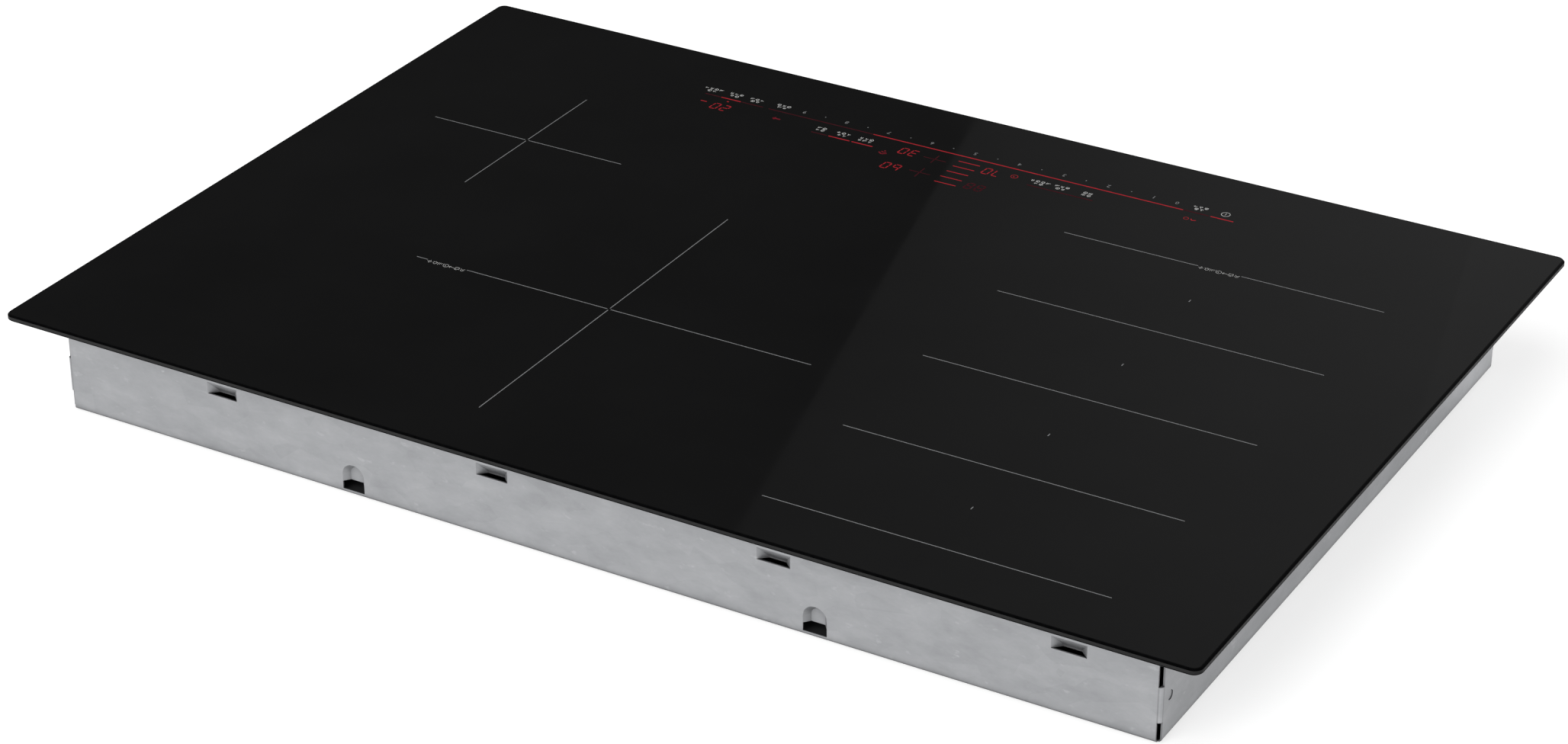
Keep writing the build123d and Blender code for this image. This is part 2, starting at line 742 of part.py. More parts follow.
# Leaf springs between the pan and the coil plates: a foot, a slanting leaf and a head
spring_height = plate_bottom - pan_floor
leaf_offset = spring_thickness / math.sin(math.atan2(spring_height - spring_thickness, spring_run))
spring_outline = [
    (0, 0),
    (spring_foot, 0),
    (spring_foot + spring_run, spring_height - spring_thickness),
    (spring_foot + spring_run + spring_head, spring_height - spring_thickness),
    (spring_foot + spring_run + spring_head, spring_height),
    (spring_foot + spring_run + spring_thickness - leaf_offset, spring_height),
    (spring_foot + spring_thickness - leaf_offset, spring_thickness),
    (0, spring_thickness),
]
with BuildPart() as support_springs:
    for plate_x, plate_width in ((left_plate_x, left_plate_width), (right_plate_x, right_plate_width)):
        for inward in (1, -1):
            for row in (plate_front + spring_inset, plate_rear - spring_inset):
                foot = (plate_x - inward * (plate_width / 2 - spring_inset), row, pan_floor)
                section = Plane(origin=foot, x_dir=(inward, 0, 0), z_dir=(0, -inward, 0))
                with BuildSketch(section):
                    Polygon(*spring_outline, align=None)
                extrude(amount=spring_width / 2, both=True)
support_springs.part.label = "support_springs"
export_step(support_springs.part, "parts/support_springs.step")

# Oval coils of the left zone: former, winding and the ferrite bars below
for number, center in enumerate(flex_centers, start=1):
    with BuildPart() as flex_former:
        with BuildSketch(at_height(center, former_bottom)) as outline:
            Rectangle(flex_former_length, flex_former_width)
            chamfer(outline.vertices(), length=former_chamfer)
            Rectangle(sensor_hole, sensor_hole, mode=Mode.SUBTRACT)
        extrude(amount=former_thickness)
    flex_former.part.label = f"flex_former_{number}"
    export_step(flex_former.part, f"parts/flex_former_{number}.step")

    with BuildPart() as flex_winding:
        with BuildSketch(at_height(center, winding_bottom)) as outline:
            Rectangle(flex_coil_length, flex_coil_width)
            chamfer(outline.vertices(), length=flex_coil_chamfer)
            Rectangle(flex_core_length, flex_core_width, mode=Mode.SUBTRACT)
        extrude(amount=winding_thickness)
    flex_winding.part.label = f"flex_winding_{number}"
    export_step(flex_winding.part, f"parts/flex_winding_{number}.step")

with BuildPart() as flex_ferrites:
    for center in flex_centers:
        with BuildSketch(at_height(center, plate_top)):
            with GridLocations(flex_ferrite_pitch, 0, flex_ferrite_count, 1):
                Rectangle(ferrite_width, flex_former_width - 2 * ferrite_margin)
        extrude(amount=ferrite_thickness)
flex_ferrites.part.label = "flex_ferrites"
export_step(flex_ferrites.part, "parts/flex_ferrites.step")

# Round coils of the right zones: former, winding and radial ferrite bars
with BuildPart() as large_former:
    with BuildSketch(at_height((large_x, large_y), former_bottom)):
        RegularPolygon(large_former_radius, 2 * large_ferrite_count)
        Rectangle(sensor_hole, sensor_hole, mode=Mode.SUBTRACT)
    extrude(amount=former_thickness)
large_former.part.label = "large_former"
export_step(large_former.part, "parts/large_former.step")

with BuildPart() as large_winding:
    with BuildSketch(at_height((large_x, large_y), winding_bottom)):
        RegularPolygon(large_coil_radius, coil_side_count)
        RegularPolygon(large_core_radius, coil_side_count, mode=Mode.SUBTRACT)
    extrude(amount=winding_thickness)
large_winding.part.label = "large_winding"
export_step(large_winding.part, "parts/large_winding.step")

with BuildPart() as large_ferrites:
    large_bar_start = large_core_radius + ferrite_core_gap
    large_bar_length = large_coil_radius - ferrite_margin - large_bar_start
    with BuildSketch(at_height((large_x, large_y), plate_top)):
        with PolarLocations(large_bar_start + large_bar_length / 2, large_ferrite_count):
            Rectangle(large_bar_length, ferrite_width)
    extrude(amount=ferrite_thickness)
large_ferrites.part.label = "large_ferrites"
export_step(large_ferrites.part, "parts/large_ferrites.step")

with BuildPart() as small_former:
    with BuildSketch(at_height((small_x, small_y), former_bottom)):
        RegularPolygon(small_former_radius, 2 * small_ferrite_count)
        Rectangle(sensor_hole, sensor_hole, mode=Mode.SUBTRACT)
    extrude(amount=former_thickness)
small_former.part.label = "small_former"
export_step(small_former.part, "parts/small_former.step")

with BuildPart() as small_winding:
    with BuildSketch(at_height((small_x, small_y), winding_bottom)):
        RegularPolygon(small_coil_radius, coil_side_count)
        RegularPolygon(small_core_radius, coil_side_count, mode=Mode.SUBTRACT)
    extrude(amount=winding_thickness)
small_winding.part.label = "small_winding"
export_step(small_winding.part, "parts/small_winding.step")

with BuildPart() as small_ferrites:
    small_bar_start = small_core_radius + ferrite_core_gap
    small_bar_length = small_coil_radius - ferrite_margin - small_bar_start
    with BuildSketch(at_height((small_x, small_y), plate_top)):
        with PolarLocations(small_bar_start + small_bar_length / 2, small_ferrite_count):
            Rectangle(small_bar_length, ferrite_width)
    extrude(amount=ferrite_thickness)
small_ferrites.part.label = "small_ferrites"
export_step(small_ferrites.part, "parts/small_ferrites.step")

# Mica sheets between the windings and the glass
with BuildPart() as mica_left:
    mica_length = flex_former_length + 2 * mica_margin
    mica_depth = flex_pitch * (flex_count - 1) + flex_former_width + 2 * mica_margin
    with BuildSketch(Plane.XY.offset(mica_bottom)):
        with Locations((left_plate_x, (flex_centers[0][1] + flex_centers[-1][1]) / 2)):
            Rectangle(mica_length, mica_depth)
        with Locations(*flex_centers):
            Rectangle(sensor_hole, sensor_hole, mode=Mode.SUBTRACT)
    extrude(amount=mica_thickness)
mica_left.part.label = "mica_left"
export_step(mica_left.part, "parts/mica_left.step")

for name, center, radius in (
    ("mica_large", (large_x, large_y), large_coil_radius),
    ("mica_small", (small_x, small_y), small_coil_radius),
):
    with BuildPart() as mica_octagon:
        with BuildSketch(at_height(center, mica_bottom)):
            RegularPolygon(radius + mica_margin, 8, major_radius=False, rotation=22.5)
            Rectangle(sensor_hole, sensor_hole, mode=Mode.SUBTRACT)
        extrude(amount=mica_thickness)
    mica_octagon.part.label = name
    export_step(mica_octagon.part, f"parts/{name}.step")

# Temperature sensors that stand on the plates and touch the glass
with BuildPart() as temperature_sensors:
    with BuildSketch(Plane.XY.offset(plate_top)):
        with Locations(*coil_centers):
            Rectangle(sensor_size, sensor_size)
    extrude(amount=glass_bottom - plate_top)
temperature_sensors.part.label = "temperature_sensors"
export_step(temperature_sensors.part, "parts/temperature_sensors.step")

# Touch control unit: a tray on legs, its board, displays and touch contacts
with BuildPart() as control_tray:
    with BuildSketch(at_height((0, control_y), control_bottom)):
        Rectangle(control_width, control_depth)
    extrude(amount=control_height)
    with BuildSketch(at_height((0, control_y), control_bottom + control_wall)):
        Rectangle(control_width - 2 * control_wall, control_depth - 2 * control_wall)
    extrude(amount=control_height - control_wall, mode=Mode.SUBTRACT)
    leg_spacing_x = control_width - 2 * control_leg_inset
    leg_spacing_y = control_depth - 2 * control_leg_inset
    with BuildSketch(at_height((0, control_y), pan_floor)):
        with GridLocations(leg_spacing_x, leg_spacing_y, 2, 2):
            Rectangle(control_leg_size, control_leg_size)
    extrude(amount=control_bottom - pan_floor)
control_tray.part.label = "control_tray"
export_step(control_tray.part, "parts/control_tray.step")

with BuildPart() as control_board:
    board_margin = control_wall + control_board_gap
    with BuildSketch(at_height((0, control_y), control_bottom + control_wall)):
        Rectangle(control_width - 2 * board_margin, control_depth - 2 * board_margin)
    extrude(amount=control_board_thickness)
control_board.part.label = "control_board"
export_step(control_board.part, "parts/control_board.step")

with BuildPart() as display_modules:
    with BuildSketch(Plane.XY.offset(control_board_top)):
        with Locations((0, control_y + display_rearward)):
            with GridLocations(2 * display_outer_x, 0, 2, 1):
                Rectangle(display_width, display_depth)
            with GridLocations(2 * display_inner_x, 0, 2, 1):
                Rectangle(display_width, display_depth)
    extrude(amount=glass_bottom - display_glass_gap - control_board_top)
display_modules.part.label = "display_modules"
export_step(display_modules.part, "parts/display_modules.step")

with BuildPart() as touch_contacts:
    with BuildSketch(at_height((touch_x, control_front + touch_from_front), control_board_top)):
        with GridLocations(touch_pitch, 0, touch_count, 1):
            Rectangle(touch_size, touch_size)
    extrude(amount=glass_bottom - control_board_top)
touch_contacts.part.label = "touch_contacts"
export_step(touch_contacts.part, "parts/touch_contacts.step")
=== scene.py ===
import bmesh
import bpy
import json
import math
from mathutils import Matrix, Vector


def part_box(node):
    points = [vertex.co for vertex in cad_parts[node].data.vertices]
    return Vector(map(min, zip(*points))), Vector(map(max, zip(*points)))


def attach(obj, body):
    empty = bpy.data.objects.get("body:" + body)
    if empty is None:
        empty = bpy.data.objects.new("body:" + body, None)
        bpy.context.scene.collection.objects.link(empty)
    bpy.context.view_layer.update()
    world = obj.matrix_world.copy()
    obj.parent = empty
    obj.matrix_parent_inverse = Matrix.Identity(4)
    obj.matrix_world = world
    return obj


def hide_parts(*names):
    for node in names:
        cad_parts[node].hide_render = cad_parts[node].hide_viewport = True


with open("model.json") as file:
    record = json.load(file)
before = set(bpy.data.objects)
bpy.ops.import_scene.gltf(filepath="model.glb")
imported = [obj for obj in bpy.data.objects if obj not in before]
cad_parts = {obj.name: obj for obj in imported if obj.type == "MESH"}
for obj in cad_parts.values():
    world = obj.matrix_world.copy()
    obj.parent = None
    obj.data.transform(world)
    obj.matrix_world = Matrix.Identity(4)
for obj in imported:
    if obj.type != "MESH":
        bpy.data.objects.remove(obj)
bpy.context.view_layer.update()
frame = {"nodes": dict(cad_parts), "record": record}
mm = 0.001
print("frame loaded,", len(frame["nodes"]), "nodes")


# small helpers for modelling and for materials

def clearSelection():
    if bpy.context.object and bpy.context.object.mode != "OBJECT":
        bpy.ops.object.mode_set(mode="OBJECT")
    bpy.ops.object.select_all(action="DESELECT")


def startEdit(piece, selectType="FACE"):
    clearSelection()
    piece.select_set(True)
    bpy.context.view_layer.objects.active = piece
    bpy.ops.object.mode_set(mode="EDIT")
    bpy.ops.mesh.select_mode(type=selectType)
    bpy.ops.mesh.select_all(action="DESELECT")
    return bmesh.from_edit_mesh(piece.data)


def chooseEdges(piece, test):
    mesh = startEdit(piece, "EDGE")
    for edge in mesh.edges:
        edge.select = test(edge)
    bmesh.update_edit_mesh(piece.data)


def joinPieces(parts, name):
    clearSelection()
    for part in parts:
        part.select_set(True)
    bpy.context.view_layer.objects.active = parts[0]
    bpy.ops.object.join()
    piece = bpy.context.object
    piece.name = name
    piece.data.name = name
    return piece


def dress(piece, *materials):
    piece.data.materials.clear()
    for material in materials:
        piece.data.materials.append(material)


def newFinish(name):
    material = bpy.data.materials.new(name)
    material.use_nodes = True
    nodes = material.node_tree.nodes
    nodes.clear()
    output = nodes.new("ShaderNodeOutputMaterial")
    shader = nodes.new("ShaderNodeBsdfPrincipled")
    place = nodes.new("ShaderNodeTexCoord")
    material.node_tree.links.new(shader.outputs["BSDF"], output.inputs["Surface"])
    return material, shader, place.outputs["Object"]


def addNode(material, kind, inputs=None, **settings):
    node = material.node_tree.nodes.new(kind)
    for key, value in settings.items():
        setattr(node, key, value)
    for key, value in (inputs or {}).items():
        if isinstance(value, bpy.types.NodeSocket):
            material.node_tree.links.new(value, node.inputs[key])
        else:
            node.inputs[key].default_value = value
    return node


def stretched(material, place, scale):
    return addNode(material, "ShaderNodeMapping", {"Vector": place, "Scale": scale}).outputs["Vector"]


def noiseOn(material, vector, scale, detail=4.0, roughness=0.55):
    node = addNode(material, "ShaderNodeTexNoise",
                   {"Vector": vector, "Scale": scale, "Detail": detail, "Roughness": roughness})
    return node.outputs["Fac"]


def rampOn(material, factor, stops):
    node = addNode(material, "ShaderNodeValToRGB", {"Fac": factor})
    stepsOfRamp = node.color_ramp.elements
    while len(stepsOfRamp) < len(stops):
        stepsOfRamp.new(0.5)
    for step, (position, colour) in zip(stepsOfRamp, stops):
        step.position = position
        step.color = (*colour, 1.0)
    return node.outputs["Color"]


def tonesOn(material, factor, dark, pale, low=0.3, high=0.7):
    return rampOn(material, factor, [(low, dark), (high, pale)])


def rangeOn(material, factor, low, high, fromLow=0.3, fromHigh=0.7):
    node = addNode(material, "ShaderNodeMapRange", {"Value": factor, "To Min": low, "To Max": high,
                                                    "From Min": fromLow, "From Max": fromHigh})
    return node.outputs["Result"]


def bumpOn(material, shader, height, strength, distance):
    node = addNode(material, "ShaderNodeBump", {"Height": height, "Strength": strength, "Distance": distance})
    material.node_tree.links.new(node.outputs["Normal"], shader.inputs["Normal"])


def setShader(material, shader, **sockets):
    for key, value in sockets.items():
        socket = shader.inputs[key.replace("_", " ")]  # Base_Color is the socket Base Color
        if isinstance(value, bpy.types.NodeSocket):
            material.node_tree.links.new(value, socket)
        else:
            socket.default_value = value


# glass finishes

glassLook = {
    "deep": (0.005, 0.005, 0.0051),
    "pale": (0.0062, 0.0062, 0.0063),
    "rough": (0.02, 0.05),
    "specular": 0.028,
    "index": 1.5,
    "smudgeScale": 9.0,
    "fineDetail": 3.0,
    # rim tones: painted shade and painted dark reflection on the glass rim
    "rimShadeDark": (0.0008, 0.0008, 0.0009),
    "rimShadePale": (0.0018, 0.0018, 0.002),
    "rimRough": (0.25, 0.35),
    "rimSpecular": 0.01,
    "rimScale": 300.0,
    "groundDark": (0.021, 0.021, 0.021),
    "groundPale": (0.035, 0.035, 0.035),
    "groundRough": (0.35, 0.5),
    "groundSpecular": 0.05,
    "grindStretch": (60.0, 60.0, 900.0),
    "grindScale": 6.0,
    "grindBump": (0.08, 0.0002),
}


def polishedGlass():
    material, shader, place = newFinish("polished_black_glass")
    smudge = noiseOn(material, place, glassLook["smudgeScale"], glassLook["fineDetail"])
    setShader(material, shader, Base_Color=tonesOn(material, smudge, glassLook["deep"], glassLook["pale"]),
              Roughness=rangeOn(material, smudge, *glassLook["rough"]),
              Specular_IOR_Level=glassLook["specular"], IOR=glassLook["index"])
    return material


# painted shade and painted reflection: a matte near-black glass for the bevels and the inset rim, standing in
# for the bevel mirroring dark surroundings, and for the shaded lower band of the edge
def rimGlass():
    material, shader, place = newFinish("rim_painted_shade_glass")
    grain = noiseOn(material, place, glassLook["rimScale"], glassLook["fineDetail"])
    setShader(material, shader,
              Base_Color=tonesOn(material, grain, glassLook["rimShadeDark"], glassLook["rimShadePale"]),
              Roughness=rangeOn(material, grain, *glassLook["rimRough"]),
              Specular_IOR_Level=glassLook["rimSpecular"])
    return material


def groundGlass():
    material, shader, place = newFinish("ground_glass_edge")
    grind = noiseOn(material, stretched(material, place, glassLook["grindStretch"]), glassLook["grindScale"])
    setShader(material, shader,
              Base_Color=tonesOn(material, grind, glassLook["groundDark"], glassLook["groundPale"]),
              Roughness=rangeOn(material, grind, *glassLook["groundRough"]),
              Specular_IOR_Level=glassLook["groundSpecular"])
    bumpOn(material, shader, grind, *glassLook["grindBump"])
    return material


# glass plate, a bevelled slab a hair lower than the solid so that the marks stay inside it

glassPlate = {
    "printRoom": 0.05 * mm,
    "cornerRadius": 6.0 * mm,
    "cornerSteps": 12,
    "topBevel": 1.0 * mm,
    "lowerBevel": 0.7 * mm,
    "shadeRimWidth": 0.7 * mm,
    "lowerShadeBand": 1.1 * mm,
    "smoothAngle": math.radians(25),
    "levelSlack": 0.001 * mm,
    "flatNormal": 0.99,
    "uprightNormal": 0.1,
}


def buildGlass():
    low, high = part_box("glass_top")
    top = high.z - glassPlate["printRoom"]
    middle = ((low.x + high.x) / 2, (low.y + high.y) / 2, (low.z + top) / 2)
    clearSelection()
    bpy.ops.mesh.primitive_cube_add(size=1, location=middle,
                                    scale=(high.x - low.x, high.y - low.y, top - low.z))
    plate = bpy.context.object
    bpy.ops.object.transform_apply(location=True, rotation=True, scale=True)
    thick = top - low.z
    chooseEdges(plate, lambda edge: abs(edge.verts[0].co.z - edge.verts[1].co.z) > thick / 2)
    bpy.ops.mesh.bevel(offset=glassPlate["cornerRadius"], segments=glassPlate["cornerSteps"], affect="EDGES")
    for level, size in ((top, glassPlate["topBevel"]), (low.z, glassPlate["lowerBevel"])):
        chooseEdges(plate, lambda edge: all(abs(corner.co.z - level) < glassPlate["levelSlack"]
                                            for corner in edge.verts))
        bpy.ops.mesh.bevel(offset=size, segments=1, affect="EDGES")
    mesh = startEdit(plate)
    for face in mesh.faces:
        face.select = face.normal.z > glassPlate["flatNormal"]
    bmesh.update_edit_mesh(plate.data)
    bpy.ops.mesh.inset(thickness=glassPlate["shadeRimWidth"])  # a narrow rim inside the bevel, with painted dark reflection
    bpy.ops.mesh.select_all(action="SELECT")
    # the band below this cut gets painted shade, a shaded lower edge
    bpy.ops.mesh.bisect(plane_co=(0, 0, low.z + glassPlate["lowerShadeBand"]), plane_no=(0, 0, 1))
    bpy.ops.object.mode_set(mode="OBJECT")
    bpy.ops.object.shade_smooth_by_angle(angle=glassPlate["smoothAngle"])
    plate.name = "glass_plate"
    plate.data.name = "glass_plate"
    dress(plate, polishedGlass(), groundGlass(), rimGlass())
    wide = max(face.area for face in plate.data.polygons)
    for face in plate.data.polygons:
        if face.area > wide / 2:
            continue
        upright = abs(face.normal.z) < glassPlate["uprightNormal"]
        ground = upright and face.center.z > low.z + glassPlate["lowerShadeBand"]
        face.material_index = 1 if ground else 2  # the upright edge is ground, the rest of the rim gets the painted shade and dark reflection
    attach(plate, "chassis")
    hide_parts("glass_top")
    return top


glassTop = buildGlass()
print("glass plate ready")


# marks on the glass: one bar and one ring are modelled, then copied

markShape = {
    "height": 0.1 * mm,
    "line": 0.6,
    "barEnd": 0.45,
    "barEndSteps": 3,
    "ringSides": 40,
    "ringInset": 0.5,
    "numberShare": 0.7,
    "numberSteps": 4,
}
markTop = glassTop + glassPlate["printRoom"]
markMiddle = markTop - markShape["height"] / 2


def buildBarPattern():
    clearSelection()
    bpy.ops.mesh.primitive_cube_add(size=1, scale=(2.0, 1.0, 1.0))
    bar = bpy.context.object
    bpy.ops.object.transform_apply(location=True, rotation=True, scale=True)
    chooseEdges(bar, lambda edge: abs(edge.verts[0].co.z - edge.verts[1].co.z) > 0.5)
    bpy.ops.mesh.bevel(offset=markShape["barEnd"], segments=markShape["barEndSteps"], affect="EDGES")
    bpy.ops.object.mode_set(mode="OBJECT")
    return bar


def buildRingPattern(sides):
    clearSelection()
    bpy.ops.mesh.primitive_circle_add(vertices=sides, radius=1.0, fill_type="NGON")
    ring = bpy.context.object
    startEdit(ring)
    bpy.ops.mesh.select_all(action="SELECT")
    bpy.ops.mesh.inset(thickness=markShape["ringInset"])
    bpy.ops.mesh.delete(type="FACE")  # the inset leaves the middle face selected
    bpy.ops.mesh.select_all(action="SELECT")
    bpy.ops.mesh.extrude_region_move(TRANSFORM_OT_translate={"value": (0, 0, 1.0)})
    bpy.ops.mesh.select_all(action="SELECT")
    bpy.ops.transform.translate(value=(0, 0, -0.5))
    bpy.ops.mesh.normals_make_consistent(inside=False)
    bpy.ops.object.mode_set(mode="OBJECT")
    return ring


barPattern = buildBarPattern()
ringPattern = buildRingPattern(markShape["ringSides"])


def copyOf(pattern):
    piece = pattern.copy()
    piece.data = pattern.data.copy()
    bpy.context.scene.collection.objects.link(piece)
    return piece


def layBar(x0, y0, x1, y1, width=markShape["line"]):
    length = math.hypot(x1 - x0, y1 - y0)
    bar = copyOf(barPattern)
    for corner in bar.data.vertices:  # the ends move out, so that their rounding keeps its shape
        reach = (length - width) / 2 if length > width else 0.0
        endPart = (abs(corner.co.x) - 0.5) * width
        corner.co = Vector((math.copysign(reach + endPart, corner.co.x) * mm,
                            corner.co.y * width * mm, corner.co.z * markShape["height"]))
    turn = Matrix.Rotation(math.atan2(y1 - y0, x1 - x0), 4, "Z")
    bar.data.transform(Matrix.Translation(((x0 + x1) / 2 * mm, (y0 + y1) / 2 * mm, markMiddle)) @ turn)
    return bar


def layRing(x, y, radius, width):
    ring = copyOf(ringPattern)
    middleOfWall = 1 - markShape["ringInset"] / 2
    for corner in ring.data.vertices:
        flat = Vector((corner.co.x, corner.co.y))
        reach = radius + width / 2 if flat.length > middleOfWall else radius - width / 2
        flat = flat.normalized() * reach * mm
        corner.co = Vector((flat.x + x * mm, flat.y + y * mm, corner.co.z * markShape["height"] + markMiddle))
    return ring


def layNumber(word, x, y, height):
    clearSelection()
    bpy.ops.object.text_add(location=(0, 0, 0))
    number = bpy.context.object
    number.data.body = word
    number.data.size = height / markShape["numberShare"] * mm  # a digit is that share of the size
    number.data.align_x = "CENTER"
    number.data.align_y = "CENTER"
    number.data.resolution_u = markShape["numberSteps"]
    number.data.extrude = markShape["height"] / 2
    bpy.ops.object.convert(target="MESH")
    number = bpy.context.object
    number.location = (x * mm, y * mm, markMiddle)
    bpy.ops.object.transform_apply(location=True, rotation=True, scale=True)
    return number


# finishes of the printed and of the lit marks

printLook = {"dark": (0.138, 0.14, 0.143), "pale": (0.197, 0.2, 0.204), "scale": 700.0}
labelLook = {"dark": (0.44, 0.44, 0.432), "pale": (0.575, 0.575, 0.567), "scale": 900.0}
litLook = {"core": (0.335, 0.014, 0.023), "rim": (0.255, 0.01, 0.017), "base": (0.05, 0.003, 0.004)}
halfLook = {"core": (0.13, 0.006, 0.013), "rim": (0.1, 0.004, 0.01), "base": (0.02, 0.002, 0.003)}
dimLook = {"core": (0.04, 0.002, 0.006), "rim": (0.03, 0.001, 0.004), "base": (0.004, 0.001, 0.001)}
markLook = {
    "tones": (0.35, 0.65),
    "printDetail": 3.0,
    "printRough": (0.4, 0.6),
    "printSpecular": 0.1,
    "glowScale": 160.0,
    "glowDetail": 2.0,
    "glowStrength": 1.0,
    "glowRough": 0.3,
    "glowSpecular": 0.01,
}


def printedFinish(name, look):
    material, shader, place = newFinish(name)
    grain = noiseOn(material, place, look["scale"], markLook["printDetail"])
    setShader(material, shader,
              Base_Color=tonesOn(material, grain, look["dark"], look["pale"], *markLook["tones"]),
              Roughness=rangeOn(material, grain, *markLook["printRough"]),
              Specular_IOR_Level=markLook["printSpecular"])
    return material


def lightFinish(name, look):
    material, shader, place = newFinish(name)
    glow = noiseOn(material, place, markLook["glowScale"], markLook["glowDetail"])
    colour = tonesOn(material, glow, look["rim"], look["core"], *markLook["tones"])
    setShader(material, shader, Base_Color=(*look["base"], 1.0), Emission_Color=colour,
              Emission_Strength=markLook["glowStrength"], Roughness=markLook["glowRough"],
              Specular_IOR_Level=markLook["glowSpecular"])
    return material


zonePrint = printedFinish("zone_print", printLook)
labelPrint = printedFinish("label_print", labelLook)
litRed = lightFinish("lit_red", litLook)
halfRed = lightFinish("faint_red", halfLook)
dimRed = lightFinish("unlit_red", dimLook)


def finishMarks(parts, name, material):
    piece = joinPieces(parts, name)
    dress(piece, material)
    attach(piece, "chassis")
    print(name, len(piece.data.polygons), "faces")
    return piece


# cooking zone marks: crosses, lines and ticks in millimetres, two lines with room for a row of signs

zoneMarks = {
    "smallCross": (255.2, -91.2, 72.6),
    "largeCross": (82.0, 83.0, 140.0),
    "crossGap": 1.2,
    "flexLines": (-146.5, -55.5, 39.8, 136.2, 227.6),
    "flexEnds": (-323.4, -109.0),
    "ticks": (-101.6, -8.3, 87.8, 181.8),
    "tickX": -216.0,
    "tickLength": 3.0,
    "signPlaces": ((199.4, 83.0), (-215.3, -146.5)),
    "signRoom": 14.4,
}


def layLine(x0, x1, y):
    parts = []
    for x, signY in zoneMarks["signPlaces"]:
        if signY == y and x0 < x < x1:
            parts.append(layBar(x0, y, x - zoneMarks["signRoom"], y))
            x0 = x + zoneMarks["signRoom"]
    return parts + [layBar(x0, y, x1, y)]


def buildZoneMarks():
    parts = []
    for key in ("smallCross", "largeCross"):
        x, y, arm = zoneMarks[key]
        gap = zoneMarks["crossGap"]
        parts += layLine(x + gap, x + arm, y) + layLine(x - arm, x - gap, y)
        parts += [layBar(x, y + side * gap, x, y + side * arm) for side in (1, -1)]
    for y in zoneMarks["flexLines"]:
        parts += layLine(*zoneMarks["flexEnds"], y)
    for y in zoneMarks["ticks"]:
        half = zoneMarks["tickLength"] / 2
        parts.append(layBar(zoneMarks["tickX"], y - half, zoneMarks["tickX"], y + half))
    return finishMarks(parts, "zone_marks", zonePrint)


buildZoneMarks()


# numbers and dots of the slider

sliderRow = {
    "numberX": (-152.6, -136.4, -104.5, -72.8, -40.7, -8.6, 23.4, 55.4, 87.2, 119.2),
    "numberY": -219.7,
    "numberHeight": 3.5,
    "dotX": (-120.5, -88.4, -56.6, -24.7, 7.6, 39.3, 71.4, 103.4),
    "dotSize": 0.9,
}


def buildSliderRow():
    parts = [layNumber(str(count), x, sliderRow["numberY"], sliderRow["numberHeight"])
             for count, x in enumerate(sliderRow["numberX"])]
    half = sliderRow["dotSize"] / 2
    parts += [layBar(x - half, sliderRow["numberY"], x + half, sliderRow["numberY"], sliderRow["dotSize"])
              for x in sliderRow["dotX"]]
    return finishMarks(parts, "slider_numbers", zonePrint)


buildSliderRow()


# key symbols: strokes and rings on a 5 mm square, laid smaller in two rows to a key

keySymbols = {
    "clock": {"rings": ((0, 0, 2.3),), "bars": ((0, 0, 0, 1.5), (0, 0, 1.2, 0))},
    "arrow": {"bars": ((-2.2, 0, 2.2, 0), (2.2, 0, 0.8, 1.4), (2.2, 0, 0.8, -1.4))},
    "pot": {"bars": ((-1.8, 0.8, -1.8, -2), (-1.8, -2, 1.8, -2), (1.8, -2, 1.8, 0.8),
                     (-2.6, 0.8, 2.6, 0.8), (-1.1, 2, 1.1, 2))},
    "bell": {"bars": ((-2.3, -1.3, 2.3, -1.3), (-1.6, -1.3, -1.2, 1.2), (1.6, -1.3, 1.2, 1.2),
                      (-1.2, 1.2, 0, 2), (0, 2, 1.2, 1.2), (-0.3, -2.2, 0.3, -2.2))},
    "boost": {"bars": ((-1.9, -1.8, 0, 0), (0, 0, 1.9, -1.8), (-1.9, 0.2, 0, 2), (0, 2, 1.9, 0.2))},
    "levels": {"bars": ((-2.1, -2, -2.1, -1), (-0.7, -2, -0.7, 0), (0.7, -2, 0.7, 1), (2.1, -2, 2.1, 2))},
    "fan": {"rings": ((0, 0, 0.6),), "bars": ((0, 0.7, 0.6, 2.3), (-0.6, -0.4, -2.3, -0.7),
                                              (0.6, -0.4, 1.7, -1.7))},
    "lamp": {"rings": ((0, 0, 1.1),), "bars": ((0, 1.7, 0, 2.3), (0, -1.7, 0, -2.3), (1.7, 0, 2.3, 0),
                                               (-1.7, 0, -2.3, 0))},
    "warm": {"bars": ((-1.8, -2, -1.3, -0.6), (-1.3, -0.6, -1.8, 0.7), (-1.8, 0.7, -1.3, 2),
                      (0, -2, 0.5, -0.6), (0.5, -0.6, 0, 0.7), (0, 0.7, 0.5, 2),
                      (1.8, -2, 2.3, -0.6), (2.3, -0.6, 1.8, 0.7), (1.8, 0.7, 2.3, 2))},
    "lock": {"rings": ((0, 0.6, 1.4),), "bars": ((-2, 0.3, 2, 0.3), (2, 0.3, 2, -2.2), (2, -2.2, -2, -2.2),
                                                 (-2, -2.2, -2, 0.3), (0, -0.6, 0, -1.3))},
    "hand": {"bars": ((0, 2.2, 0, -0.6), (-1.4, -0.4, -1.4, -2), (-1.4, -2, 1.6, -2), (1.6, -2, 1.6, -0.2),
                      (0, -0.2, 1.6, -0.2))},
    "power": {"rings": ((0, 0, 2.8),), "bars": ((0, -1.3, 0, 1.3),)},
}
